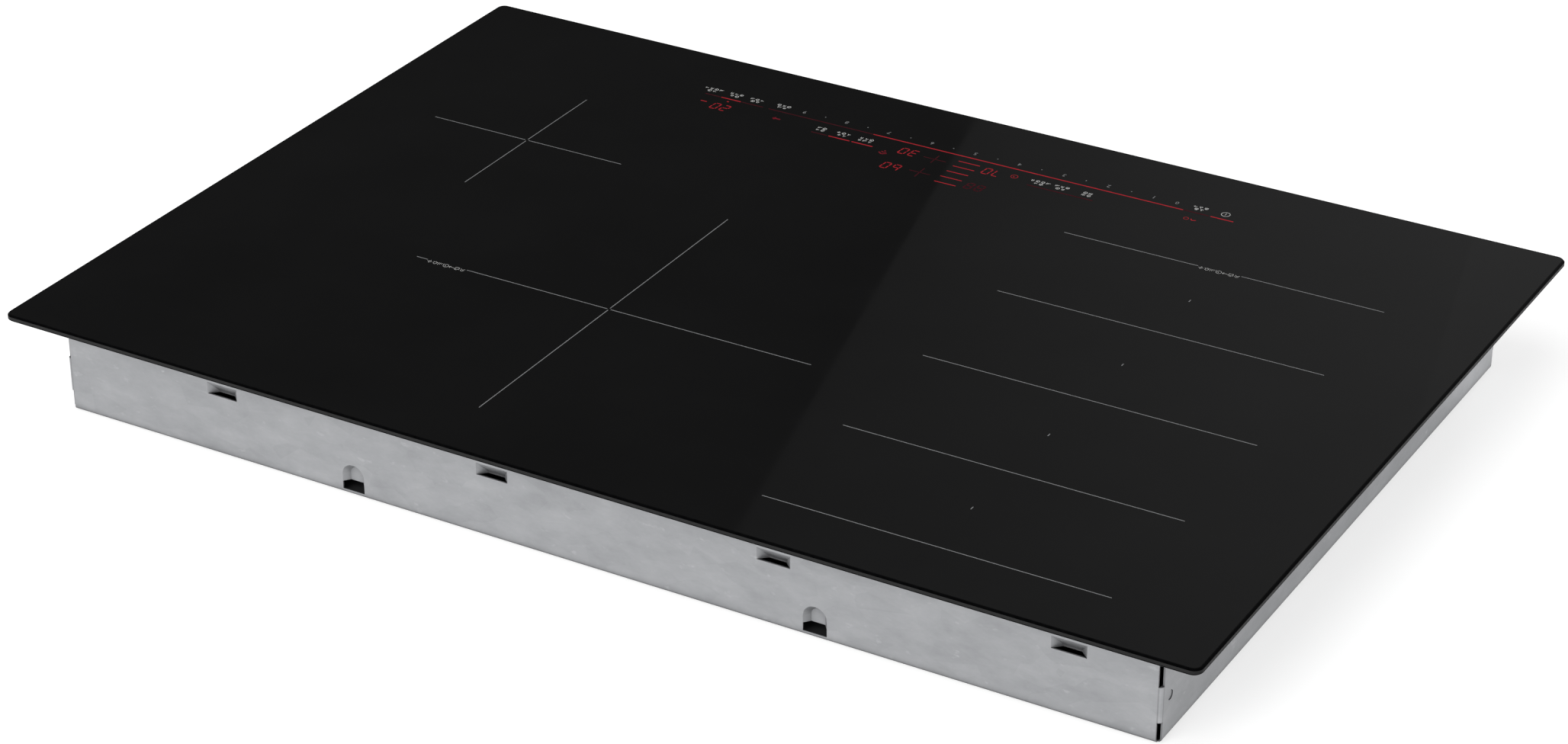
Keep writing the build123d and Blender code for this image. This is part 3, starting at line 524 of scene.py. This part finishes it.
keyPlaces = {
    "stroke": 0.36,
    "shrink": 0.52,
    "columnPitch": 3.7,
    "rowPitch": 3.2,
    "keys": ((190.1, -219.7, "arrow clock", "levels clock boost arrow"),
             (172.7, -219.9, "clock bell", "pot arrow boost"),
             (156.3, -219.2, "bell clock", "arrow pot levels"),
             (135.9, -219.7, "boost levels", "clock boost pot"),
             (96.8, -202.0, "pot arrow", "clock levels"),
             (80.6, -202.0, "fan lamp", "fan clock lamp"),
             (63.4, -202.0, "fan levels boost", "clock fan boost"),
             (-64.0, -201.6, "pot arrow", "levels pot clock boost"),
             (-79.4, -202.0, "boost clock", "pot boost levels"),
             (-97.7, -201.9, "pot warm", "warm clock"),
             (-168.6, -219.2, "hand lock", "lock hand arrow")),
    "power": (-186.1, -219.7),
    "powerStroke": 0.34,
}
zoneSigns = {
    "row": "boost pot arrow clock levels bell lamp",
    "pitch": 4.0,
    "shrink": 0.76,
    "stroke": 0.21,
    "rise": 1.5,
}


def laySymbol(name, x, y, stroke, scale):
    symbol = keySymbols[name]
    parts = [layRing(x + cx * scale, y + cy * scale, radius * scale, stroke)
             for cx, cy, radius in symbol.get("rings", ())]
    for ends in symbol["bars"]:
        x0, y0, x1, y1 = (part * scale for part in ends)
        parts.append(layBar(x + x0, y + y0, x + x1, y + y1, stroke))
    return parts


def layRow(words, x, y, pitch, stroke, scale):
    parts = []
    names = words.split()
    for column, name in enumerate(names):
        shift = (column - (len(names) - 1) / 2) * pitch
        parts += laySymbol(name, x + shift, y, stroke, scale)
    return parts


def buildKeySymbols():
    parts = laySymbol("power", *keyPlaces["power"], keyPlaces["powerStroke"], 1.0)
    half = keyPlaces["rowPitch"] / 2
    for x, y, *rows in keyPlaces["keys"]:
        for rise, words in zip((half, -half), rows):
            parts += layRow(words, x, y + rise, keyPlaces["columnPitch"], keyPlaces["stroke"],
                            keyPlaces["shrink"])
    return finishMarks(parts, "key_symbols", labelPrint)


def buildZoneSigns():
    parts = []
    for x, y in zoneMarks["signPlaces"]:
        parts += layRow(zoneSigns["row"], x, y + zoneSigns["rise"], zoneSigns["pitch"], zoneSigns["stroke"],
                        zoneSigns["shrink"])
    return finishMarks(parts, "zone_signs", labelPrint)


buildKeySymbols()
buildZoneSigns()


# red bars, digits and signs shown through the glass

segmentEnds = {"a": (0, 1, 1, 1), "b": (1, 1, 1, 0.5), "c": (1, 0.5, 1, 0), "d": (0, 0, 1, 0),
               "e": (0, 0, 0, 0.5), "f": (0, 0.5, 0, 1), "g": (0, 0.5, 1, 0.5)}
segmentsOf = {"0": "abcdef", "2": "abged", "3": "abgcd", "6": "fgedc", "7": "abc", "8": "abcdefg"}
displayMarks = {
    "digitWidth": 4.4,
    "digitHeight": 8.3,
    "digitPitch": 7.4,
    "digitLean": 0.12,
    "segment": 0.75,
    "segmentGap": 0.4,
    "barWidth": 1.0,
    "levelWidth": 0.78,
    "dimWidth": 1.05,
    "ghostSegment": 1.2,
    "crossWidth": 0.8,
    "ringStroke": 0.33,
    "litNumbers": (("20", 172.2, -198.6), ("30", 30.4, -200.0), ("60", 30.3, -175.6), ("70", -30.6, -200.2)),
    "dimNumbers": (("88", -30.8, -175.3),),
    "litBars": ((-160.0, -212.4, 63.4, -212.4), (-194.6, -212.5, -178.8, -212.5),
                (164.3, -212.5, 179.6, -212.5), (71.8, -195.5, 87.8, -195.5), (54.7, -195.5, 70.4, -195.5)),
    "levelEnds": (-19.6, -4.0),
    "levelY": (-204.5, -196.4, -188.0, -179.3, -170.8),
    "dimBars": ((63.8, -212.4, 143.0, -212.4), (-177.9, -212.5, -160.6, -212.5),
                (180.2, -212.5, 192.0, -212.5), (147.2, -212.5, 163.5, -212.5),
                (88.9, -195.5, 100.7, -195.5), (-104.8, -195.4, -58.0, -195.4)),
    "dimCrosses": ((2.3, -199.0, 18.8, -199.0), (10.5, -193.0, 10.5, -205.0),
                   (2.2, -177.0, 17.5, -177.0), (9.9, -170.0, 9.9, -184.0)),
    "litSigns": ((184.2, -201.5, 189.0, -201.5, 0.8), (171.2, -208.4, 172.8, -208.4, 1.0),
                 (-173.4, -202.5, -171.0, -201.4, 0.75), (-171.0, -201.4, -169.6, -203.2, 0.75)),
    "litRings": ((-166.6, -202.5, 1.6), (-45.8, -202.0, 2.3)),
    "clockHands": ((-45.8, -202.0, -45.8, -200.6), (-45.8, -202.0, -44.7, -202.0)),
    "faintSigns": ((127.6, -201.5, 133.4, -201.5, 1.4), (133.4, -201.5, 131.4, -200.0, 0.9),
                   (133.4, -201.5, 131.4, -203.0, 0.9), (41.6, -191.0, 44.6, -188.9, 1.0),
                   (44.6, -188.9, 47.6, -191.0, 1.0), (42.8, -192.8, 44.6, -191.5, 1.0),
                   (44.6, -191.5, 46.4, -192.8, 1.0), (44.2, -194.2, 45.0, -194.2, 1.2)),
}


def layDigits(word, x, y, stroke):
    parts = []
    wide, tall = displayMarks["digitWidth"], displayMarks["digitHeight"]
    for place, digit in enumerate(word):
        left = x + (place - (len(word) - 1) / 2) * displayMarks["digitPitch"] - wide / 2
        for key in segmentsOf[digit]:
            x0, y0, x1, y1 = segmentEnds[key]
            length = math.hypot((x1 - x0) * wide, (y1 - y0) * tall)
            ease = displayMarks["segmentGap"] / length
            x0, x1 = x0 + (x1 - x0) * ease, x1 - (x1 - x0) * ease
            y0, y1 = y0 + (y1 - y0) * ease, y1 - (y1 - y0) * ease
            low, high = ((part - 0.5) * tall for part in (y0, y1))
            lean = displayMarks["digitLean"]
            parts.append(layBar(left + x0 * wide + low * lean, y + low,
                                left + x1 * wide + high * lean, y + high, stroke))
    return parts


def buildDisplay():
    lit, dim = [], []
    for entry in displayMarks["litNumbers"]:
        lit += layDigits(*entry, displayMarks["segment"])
    for entry in displayMarks["dimNumbers"]:
        dim += layDigits(*entry, displayMarks["ghostSegment"])
    lit += [layBar(*ends, displayMarks["barWidth"]) for ends in displayMarks["litBars"]]
    left, right = displayMarks["levelEnds"]
    lit += [layBar(left, y, right, y, displayMarks["levelWidth"]) for y in displayMarks["levelY"]]
    lit += [layBar(*ends, displayMarks["ringStroke"]) for ends in displayMarks["clockHands"]]
    lit += [layBar(*sign) for sign in displayMarks["litSigns"]]
    lit += [layRing(*ring, displayMarks["ringStroke"]) for ring in displayMarks["litRings"]]
    dim += [layBar(*ends, displayMarks["dimWidth"]) for ends in displayMarks["dimBars"]]
    dim += [layBar(*ends, displayMarks["crossWidth"]) for ends in displayMarks["dimCrosses"]]
    faint = [layBar(*sign) for sign in displayMarks["faintSigns"]]
    finishMarks(lit, "lit_display", litRed)
    finishMarks(faint, "faint_display", halfRed)
    finishMarks(dim, "unlit_display", dimRed)


buildDisplay()
bpy.data.objects.remove(barPattern)
bpy.data.objects.remove(ringPattern)


# steel of the pan

panLook = {
    "low": (0.335, 0.341, 0.354),
    "middle": (0.398, 0.404, 0.418),
    "high": (0.462, 0.468, 0.482),
    "fleck": (0.53, 0.536, 0.55),
    "metal": 0.65,
    "rough": (0.42, 0.56),
    "rolled": (0.5, 0.5, 1.0),
    "cloudScale": 75.0,
    "cloudDetail": (8.0, 0.66),
    "spangleScale": 90.0,
    "spangleShare": 0.14,
    "sheetTones": (0.34, 0.57, 0.8),
    "fineDetail": 3.0,
    "fleckScale": 210.0,
    "fleckFrom": (0.64, 0.82),
    "grainScale": 260.0,
    "grainBump": (0.05, 0.0004),
    # painted shade in corners and recesses, from ambient occlusion
    "cornerReach": 0.006,
    "cornerSamples": 8,
    "cornerFrom": (0.35, 0.95),
    "cornerDark": 0.3,
    # painted shade line and painted highlight at the corner bends
    "bendRadius": 2.2 * mm,
    "bendLine": (0.15 * mm, 0.6 * mm),
    "bendShadeLine": 0.72,
    "bendHighlight": 1.06,
    "floorTop": 3.0 * mm,
    "floorNormal": 0.5,
    "floorDark": 0.18,
}


def product(material, first, *others):
    for other in others:
        first = addNode(material, "ShaderNodeMath", {0: first, 1: other}, operation="MULTIPLY").outputs[0]
    return first


def bendTone(material, place):  # painted shade in a dark line where a corner bend starts, and a painted highlight on the paler bend
    low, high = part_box("bottom_pan")
    centred = addNode(material, "ShaderNodeMapping", {"Vector": place, "Location": -(low + high) / 2})
    spread = addNode(material, "ShaderNodeVectorMath", {0: centred.outputs["Vector"]}, operation="ABSOLUTE")
    inset = addNode(material, "ShaderNodeVectorMath", {0: spread.outputs["Vector"], 1: (high - low) / 2},
                    operation="SUBTRACT")
    sides = addNode(material, "ShaderNodeSeparateXYZ", {0: inset.outputs["Vector"]})
    corner = addNode(material, "ShaderNodeMath", {0: sides.outputs["X"], 1: sides.outputs["Y"]},
                     operation="MINIMUM").outputs[0]
    fromBend = addNode(material, "ShaderNodeMath", {0: corner, 1: panLook["bendRadius"]}, operation="ADD")
    fromLine = addNode(material, "ShaderNodeMath", {0: fromBend.outputs[0]}, operation="ABSOLUTE")
    line = rangeOn(material, fromLine.outputs[0], panLook["bendShadeLine"], 1.0, *panLook["bendLine"])
    strip = rangeOn(material, fromBend.outputs[0], 1.0, panLook["bendHighlight"], 0.0, panLook["bendRadius"] / 2)
    return product(material, line, strip)


def normalOf(material):
    surface = addNode(material, "ShaderNodeNewGeometry")
    return addNode(material, "ShaderNodeSeparateXYZ", {0: surface.outputs["Normal"]})


def floorTone(material, place):  # painted shade: the pan's inner floor is darkened, as it lies in the dark under the coils
    up = normalOf(material).outputs["Z"]
    facing = addNode(material, "ShaderNodeMath", {0: up, 1: panLook["floorNormal"]}, operation="GREATER_THAN")
    height = addNode(material, "ShaderNodeSeparateXYZ", {0: place}).outputs["Z"]
    low = addNode(material, "ShaderNodeMath", {0: height, 1: panLook["floorTop"]}, operation="LESS_THAN")
    inside = product(material, facing.outputs[0], low.outputs[0])
    return rangeOn(material, inside, 1.0, panLook["floorDark"], 0.0, 1.0)


def galvanisedSteel():
    material, shader, place = newFinish("galvanised_sheet")
    rolled = stretched(material, place, panLook["rolled"])  # marks run along the sheet
    cloud = noiseOn(material, rolled, panLook["cloudScale"], *panLook["cloudDetail"])
    cells = addNode(material, "ShaderNodeTexVoronoi", {"Vector": rolled, "Scale": panLook["spangleScale"]})
    tone = addNode(material, "ShaderNodeSeparateColor", {"Color": cells.outputs["Color"]}).outputs["Red"]
    blend = addNode(material, "ShaderNodeMath", {0: tone, 1: panLook["spangleShare"], 2: cloud},
                    operation="MULTIPLY_ADD").outputs[0]
    tones = (panLook["low"], panLook["middle"], panLook["high"])
    sheet = rampOn(material, blend, list(zip(panLook["sheetTones"], tones)))
    spots = noiseOn(material, rolled, panLook["fleckScale"], panLook["fineDetail"])
    fleck = rangeOn(material, spots, 0.0, 1.0, *panLook["fleckFrom"])
    flecked = addNode(material, "ShaderNodeMix", {"Factor": fleck, "A": sheet, "B": (*panLook["fleck"], 1.0)},
                      data_type="RGBA")
    # painted shade: the sheet is darkened in corners and recesses, from ambient occlusion
    nook = addNode(material, "ShaderNodeAmbientOcclusion", {"Distance": panLook["cornerReach"]},
                   samples=panLook["cornerSamples"])
    paintedCornerShade = rangeOn(material, nook.outputs["AO"], panLook["cornerDark"], 1.0, *panLook["cornerFrom"])
    shade = product(material, paintedCornerShade, bendTone(material, place), floorTone(material, place))
    sheetWithPaintedLight = addNode(material, "ShaderNodeVectorMath", {0: flecked.outputs["Result"], "Scale": shade},
                   operation="SCALE")
    grain = noiseOn(material, place, panLook["grainScale"], panLook["fineDetail"])
    setShader(material, shader, Base_Color=sheetWithPaintedLight.outputs["Vector"],
              Roughness=rangeOn(material, blend, *panLook["rough"]), Metallic=panLook["metal"])
    bumpOn(material, shader, grain, *panLook["grainBump"])
    return material


# finishes of the inner pieces, by the record's slots: dark and pale tone, grain, roughness, metal, stretch

def innerLook(dark, pale, scale, rough, metal=0.0, stretch=None):
    return {"dark": dark, "pale": pale, "scale": scale, "rough": rough, "metal": metal, "stretch": stretch}


innerGrain = {"tones": (0.32, 0.68), "bump": (0.1, 0.0002)}
innerLooks = {
    "seal_rubber": innerLook((0.012, 0.012, 0.012), (0.03, 0.03, 0.03), 900, (0.75, 0.95)),
    "adhesive": innerLook((0.03, 0.03, 0.03), (0.06, 0.06, 0.06), 300, (0.35, 0.5)),
    "plated_steel": innerLook((0.5, 0.5, 0.47), (0.66, 0.66, 0.63), 500, (0.25, 0.4), 1.0),
    "spring_steel": innerLook((0.36, 0.36, 0.38), (0.52, 0.52, 0.54), 400, (0.2, 0.35), 1.0, (1, 12, 1)),
    "motor_steel": innerLook((0.22, 0.22, 0.24), (0.36, 0.36, 0.38), 300, (0.35, 0.5), 1.0, (1, 1, 14)),
    "shaft_steel": innerLook((0.66, 0.66, 0.67), (0.8, 0.8, 0.81), 600, (0.12, 0.2), 1.0, (1, 1, 8)),
    "bearing_bronze": innerLook((0.46, 0.3, 0.13), (0.66, 0.47, 0.24), 1500, (0.35, 0.5), 1.0),
    "aluminium": innerLook((0.66, 0.67, 0.68), (0.8, 0.81, 0.82), 120, (0.28, 0.42), 1.0, (1, 14, 1)),
    "ferrite": innerLook((0.035, 0.035, 0.038), (0.085, 0.085, 0.09), 1400, (0.6, 0.8)),
    "former_plastic": innerLook((0.74, 0.72, 0.65), (0.84, 0.82, 0.76), 600, (0.4, 0.55)),
    "mica": innerLook((0.58, 0.52, 0.38), (0.8, 0.75, 0.62), 160, (0.3, 0.5)),
    "sensor_cap": innerLook((0.78, 0.78, 0.76), (0.88, 0.88, 0.86), 900, (0.35, 0.5)),
    "circuit_board": innerLook((0.03, 0.16, 0.06), (0.08, 0.31, 0.13), 260, (0.25, 0.4)),
    "capacitor_case": innerLook((0.66, 0.63, 0.5), (0.8, 0.77, 0.65), 400, (0.2, 0.35)),
    "transistor_case": innerLook((0.02, 0.02, 0.02), (0.045, 0.045, 0.045), 1600, (0.45, 0.6)),
    "black_plastic": innerLook((0.02, 0.02, 0.02), (0.045, 0.045, 0.045), 1200, (0.4, 0.6)),
    "fan_plastic": innerLook((0.035, 0.035, 0.035), (0.07, 0.07, 0.07), 1200, (0.4, 0.58)),
    "white_plastic": innerLook((0.76, 0.76, 0.73), (0.86, 0.86, 0.84), 900, (0.35, 0.5)),
    "display": innerLook((0.07, 0.012, 0.012), (0.14, 0.03, 0.03), 300, (0.1, 0.2)),
    "contact_foam": innerLook((0.05, 0.05, 0.05), (0.15, 0.15, 0.15), 1800, (0.8, 0.95)),
    "black_glass": innerLook((0.0028, 0.0029, 0.0031), (0.0044, 0.0045, 0.0047), 9, (0.02, 0.05)),
}


def innerFinish(name, look):
    material, shader, place = newFinish(name)
    vector = stretched(material, place, look["stretch"]) if look["stretch"] else place
    grain = noiseOn(material, vector, look["scale"])
    setShader(material, shader,
              Base_Color=tonesOn(material, grain, look["dark"], look["pale"], *innerGrain["tones"]),
              Roughness=rangeOn(material, grain, *look["rough"]), Metallic=look["metal"])
    bumpOn(material, shader, grain, *innerGrain["bump"])
    return material


# copper of a winding: turns follow the coil's outline, round the ends of a straight middle

windingLook = {
    # the groove tone is painted shade between turns
    "grooveShade": (0.2, 0.07, 0.03),
    "dark": (0.46, 0.18, 0.07),
    "pale": (0.68, 0.31, 0.15),
    "toneStops": (0.15, 0.5, 0.85),
    "pitch": 2.5 * mm,
    "crownFrom": (-1.0, 0.2),
    "crownSheen": 0.6,
    "sideTone": 0.45,
    "strandScale": 900.0,
    "strandDetail": 3.0,
    "strandShare": 0.4,
    "rough": (0.3, 0.45),
    "turnBump": (0.5, 0.0008),
}


def windingFinish(node):
    low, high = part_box(node)
    size = high - low
    straight = Vector((max(size.x - size.y, 0) / 2, max(size.y - size.x, 0) / 2, size.z))
    material, shader, place = newFinish(node + "_copper")
    centred = addNode(material, "ShaderNodeMapping", {"Vector": place, "Location": -(low + high) / 2})
    spread = addNode(material, "ShaderNodeVectorMath", {0: centred.outputs["Vector"]}, operation="ABSOLUTE")
    beyond = addNode(material, "ShaderNodeVectorMath", {0: spread.outputs["Vector"], 1: straight},
                     operation="SUBTRACT")
    outside = addNode(material, "ShaderNodeVectorMath", {0: beyond.outputs["Vector"], 1: (0, 0, 0)},
                      operation="MAXIMUM")
    reach = addNode(material, "ShaderNodeVectorMath", {0: outside.outputs["Vector"]}, operation="LENGTH")
    phase = product(material, reach.outputs["Value"], 2 * math.pi / windingLook["pitch"])
    turn = addNode(material, "ShaderNodeMath", {0: phase}, operation="SINE").outputs[0]
    strand = noiseOn(material, place, windingLook["strandScale"], windingLook["strandDetail"])
    up = normalOf(material).outputs["Z"]
    flat = addNode(material, "ShaderNodeMath", {0: up}, operation="ABSOLUTE").outputs[0]
    side = rangeOn(material, flat, windingLook["sideTone"], 0.0)  # a side shows one turn, so it is plain
    # painted shade in the grooves between turns, and a painted sheen on their crowns
    top = rangeOn(material, turn, 0.0, windingLook["crownSheen"], *windingLook["crownFrom"])
    crown = addNode(material, "ShaderNodeMath", {0: top, 1: side}, operation="MAXIMUM").outputs[0]
    mixed = addNode(material, "ShaderNodeMath", {0: strand, 1: windingLook["strandShare"], 2: crown},
                    operation="MULTIPLY_ADD").outputs[0]
    tones = (windingLook["grooveShade"], windingLook["dark"], windingLook["pale"])
    setShader(material, shader,
              Base_Color=rampOn(material, mixed, list(zip(windingLook["toneStops"], tones))),
              Roughness=rangeOn(material, strand, *windingLook["rough"]), Metallic=1.0)
    bumpOn(material, shader, product(material, turn, flat), *windingLook["turnBump"])
    return material


finishOfSlot = {name: innerFinish(name, look) for name, look in innerLooks.items()}
finishOfSlot["galvanised_steel"] = galvanisedSteel()
for entry in frame["record"]["subparts"]:
    node, slotName = entry["node"], entry["material_slot"]
    finish = windingFinish(node) if slotName == "copper_winding" else finishOfSlot[slotName]
    dress(frame["nodes"][node], finish)


# camera at the photograph's place

cameraSetting = {
    "place": (-1.06448, 1.8571, 1.17769),
    "turn": (math.radians(61.3213), 0.0, math.radians(-149.9851)),
    "lens": 90.981,
    "sensor": 36.0,
    "reach": 200.0,
}


# floor, world, lamps and the grey cards that the glass mirrors

studio = {
    "floorSize": 60.0,
    "floorDrop": 0.0004,
    "floorReach": 0.002,
    "floorColour": (0.47, 0.47, 0.47, 1.0),
    "floorGlow": 0.7,
    "skyForObject": 0.5,
    "keyPlace": (0.6, 3.0, 1.5),
    "keySize": 2.6,
    "keyPower": 55.0,
    "topPlace": (0.2, 0.9, 3.0),
    "topSize": 3.0,
    "topPower": 40.0,
    "aim": (0.0, 0.0, 0.03),
    "sidePlace": (-0.7, 0.9, 0.03),
    "sideAim": (-0.3648, -0.225, 0.027),
    "sideAngle": math.radians(3.3),
    "sideSize": 0.005,
    "sidePower": 185.0,
    "cardHeight": 1.5,
    "cardSpare": 0.3,
    "cardOnGlass": ((15.7, -264.9), (-115.6, 264.8)),
    "darkReach": 1.6,
    "darkTones": (0.12, 0.12),
    "paleReach": -0.8,
    "paleTones": (0.36, 0.92),
}


def seenDirectly(material):
    light = addNode(material, "ShaderNodeLightPath")
    first = addNode(material, "ShaderNodeMath", {0: light.outputs["Is Camera Ray"],
                                                 1: light.outputs["Is Glossy Ray"]}, operation="MAXIMUM")
    return addNode(material, "ShaderNodeMath", {0: first.outputs[0], 1: light.outputs["Is Transmission Ray"]},
                   operation="MAXIMUM").outputs[0]


def buildFloor():
    clearSelection()
    bpy.ops.mesh.primitive_plane_add(size=studio["floorSize"], location=(0, 0, -studio["floorDrop"]))
    floor = bpy.context.object
    floor.name = "studio_floor"
    material = bpy.data.materials.new("studio_floor")
    material.use_nodes = True
    tree = material.node_tree
    tree.nodes.clear()
    output = tree.nodes.new("ShaderNodeOutputMaterial")
    paint = addNode(material, "ShaderNodeBsdfDiffuse", {"Color": studio["floorColour"]})
    amount = addNode(material, "ShaderNodeMath", {0: seenDirectly(material), 1: studio["floorGlow"]},
                     operation="MULTIPLY")
    glow = addNode(material, "ShaderNodeEmission", {"Strength": amount.outputs[0]})
    top = addNode(material, "ShaderNodeAddShader", {0: paint.outputs[0], 1: glow.outputs[0]})
    ray = addNode(material, "ShaderNodeLightPath")
    close = addNode(material, "ShaderNodeMath", {0: ray.outputs["Ray Length"], 1: studio["floorReach"]},
                    operation="LESS_THAN")
    below = addNode(material, "ShaderNodeNewGeometry")
    gone = addNode(material, "ShaderNodeMath", {0: close.outputs[0], 1: below.outputs["Backfacing"]},
                   operation="MAXIMUM")
    air = addNode(material, "ShaderNodeBsdfTransparent")
    oneSided = addNode(material, "ShaderNodeMixShader",
                       {0: gone.outputs[0], 1: top.outputs[0], 2: air.outputs[0]})
    tree.links.new(oneSided.outputs[0], output.inputs["Surface"])  # clear from below, to show the underside
    dress(floor, material)


def buildSky():
    world = bpy.data.worlds.new("studio_sky")
    bpy.context.scene.world = world
    world.use_nodes = True
    tree = world.node_tree
    tree.nodes.clear()
    output = tree.nodes.new("ShaderNodeOutputWorld")
    sky = addNode(world, "ShaderNodeBackground", {"Color": (1, 1, 1, 1)})
    amount = rangeOn(world, seenDirectly(world), studio["skyForObject"], 1.0, 0.0, 1.0)
    tree.links.new(amount, sky.inputs["Strength"])
    tree.links.new(sky.outputs["Background"], output.inputs["Surface"])


def buildLamp(name, kind, place, aim, power):
    clearSelection()
    bpy.ops.object.light_add(type=kind, location=place)
    lamp = bpy.context.object
    lamp.name = name
    lamp.data.energy = power
    lamp.rotation_euler = (Vector(aim) - Vector(place)).to_track_quat("-Z", "Y").to_euler()
    lamp.visible_camera = False
    lamp.visible_glossy = False
    return lamp.data


def buildSoftLamp(name, place, size, power):
    lamp = buildLamp(name, "AREA", place, studio["aim"], power)
    lamp.shape = "DISK"
    lamp.size = size


def buildSideSpot():  # a faint light on the far end of one side wall
    spot = buildLamp("side_spot", "SPOT", studio["sidePlace"], studio["sideAim"], studio["sidePower"])
    spot.spot_size = studio["sideAngle"]
    spot.spot_blend = 1.0
    spot.shadow_soft_size = studio["sideSize"]


def mirroredAt(x, y, height):
    eye = Vector(cameraSetting["place"])
    eye.z = 2 * glassTop - eye.z  # the camera's place mirrored in the glass
    point = Vector((x * mm, y * mm, glassTop))
    return eye + (point - eye) * (height - eye.z) / (glassTop - eye.z)


def buildCard(name, reach, tones):
    near, far = (mirroredAt(*point, studio["cardHeight"]) for point in studio["cardOnGlass"])
    along = (near - far) * studio["cardSpare"]
    aside = Vector((reach, 0, 0))
    corners = (far - along, far - along + aside, near + along, near + along + aside)
    clearSelection()
    bpy.ops.mesh.primitive_plane_add(size=1)
    card = bpy.context.object
    card.name = name
    for corner, spot in zip(card.data.vertices, corners):
        corner.co = spot
    for ray in ("visible_camera", "visible_diffuse", "visible_shadow", "visible_transmission"):
        setattr(card, ray, False)
    material = bpy.data.materials.new(name)
    material.use_nodes = True
    tree = material.node_tree
    tree.nodes.clear()
    output = tree.nodes.new("ShaderNodeOutputMaterial")
    place = addNode(material, "ShaderNodeTexCoord")
    across = addNode(material, "ShaderNodeSeparateXYZ", {0: place.outputs["UV"]})
    tone = rangeOn(material, across.outputs["X"], *tones, 0.0, 1.0)
    glow = addNode(material, "ShaderNodeEmission", {"Strength": tone})
    tree.links.new(glow.outputs[0], output.inputs["Surface"])
    dress(card, material)


buildFloor()
buildSky()
buildSoftLamp("key_lamp", studio["keyPlace"], studio["keySize"], studio["keyPower"])
buildSoftLamp("top_lamp", studio["topPlace"], studio["topSize"], studio["topPower"])
buildSideSpot()
buildCard("dark_card", studio["darkReach"], studio["darkTones"])
buildCard("pale_card", studio["paleReach"], studio["paleTones"])


def buildCamera():
    clearSelection()
    bpy.ops.object.camera_add(location=cameraSetting["place"], rotation=cameraSetting["turn"])
    camera = bpy.context.object
    camera.data.lens = cameraSetting["lens"]
    camera.data.sensor_width = cameraSetting["sensor"]
    camera.data.sensor_fit = "HORIZONTAL"
    camera.data.clip_end = cameraSetting["reach"]
    bpy.context.scene.camera = camera


buildCamera()
bpy.context.scene.view_settings.view_transform = "Standard"
print("studio ready")
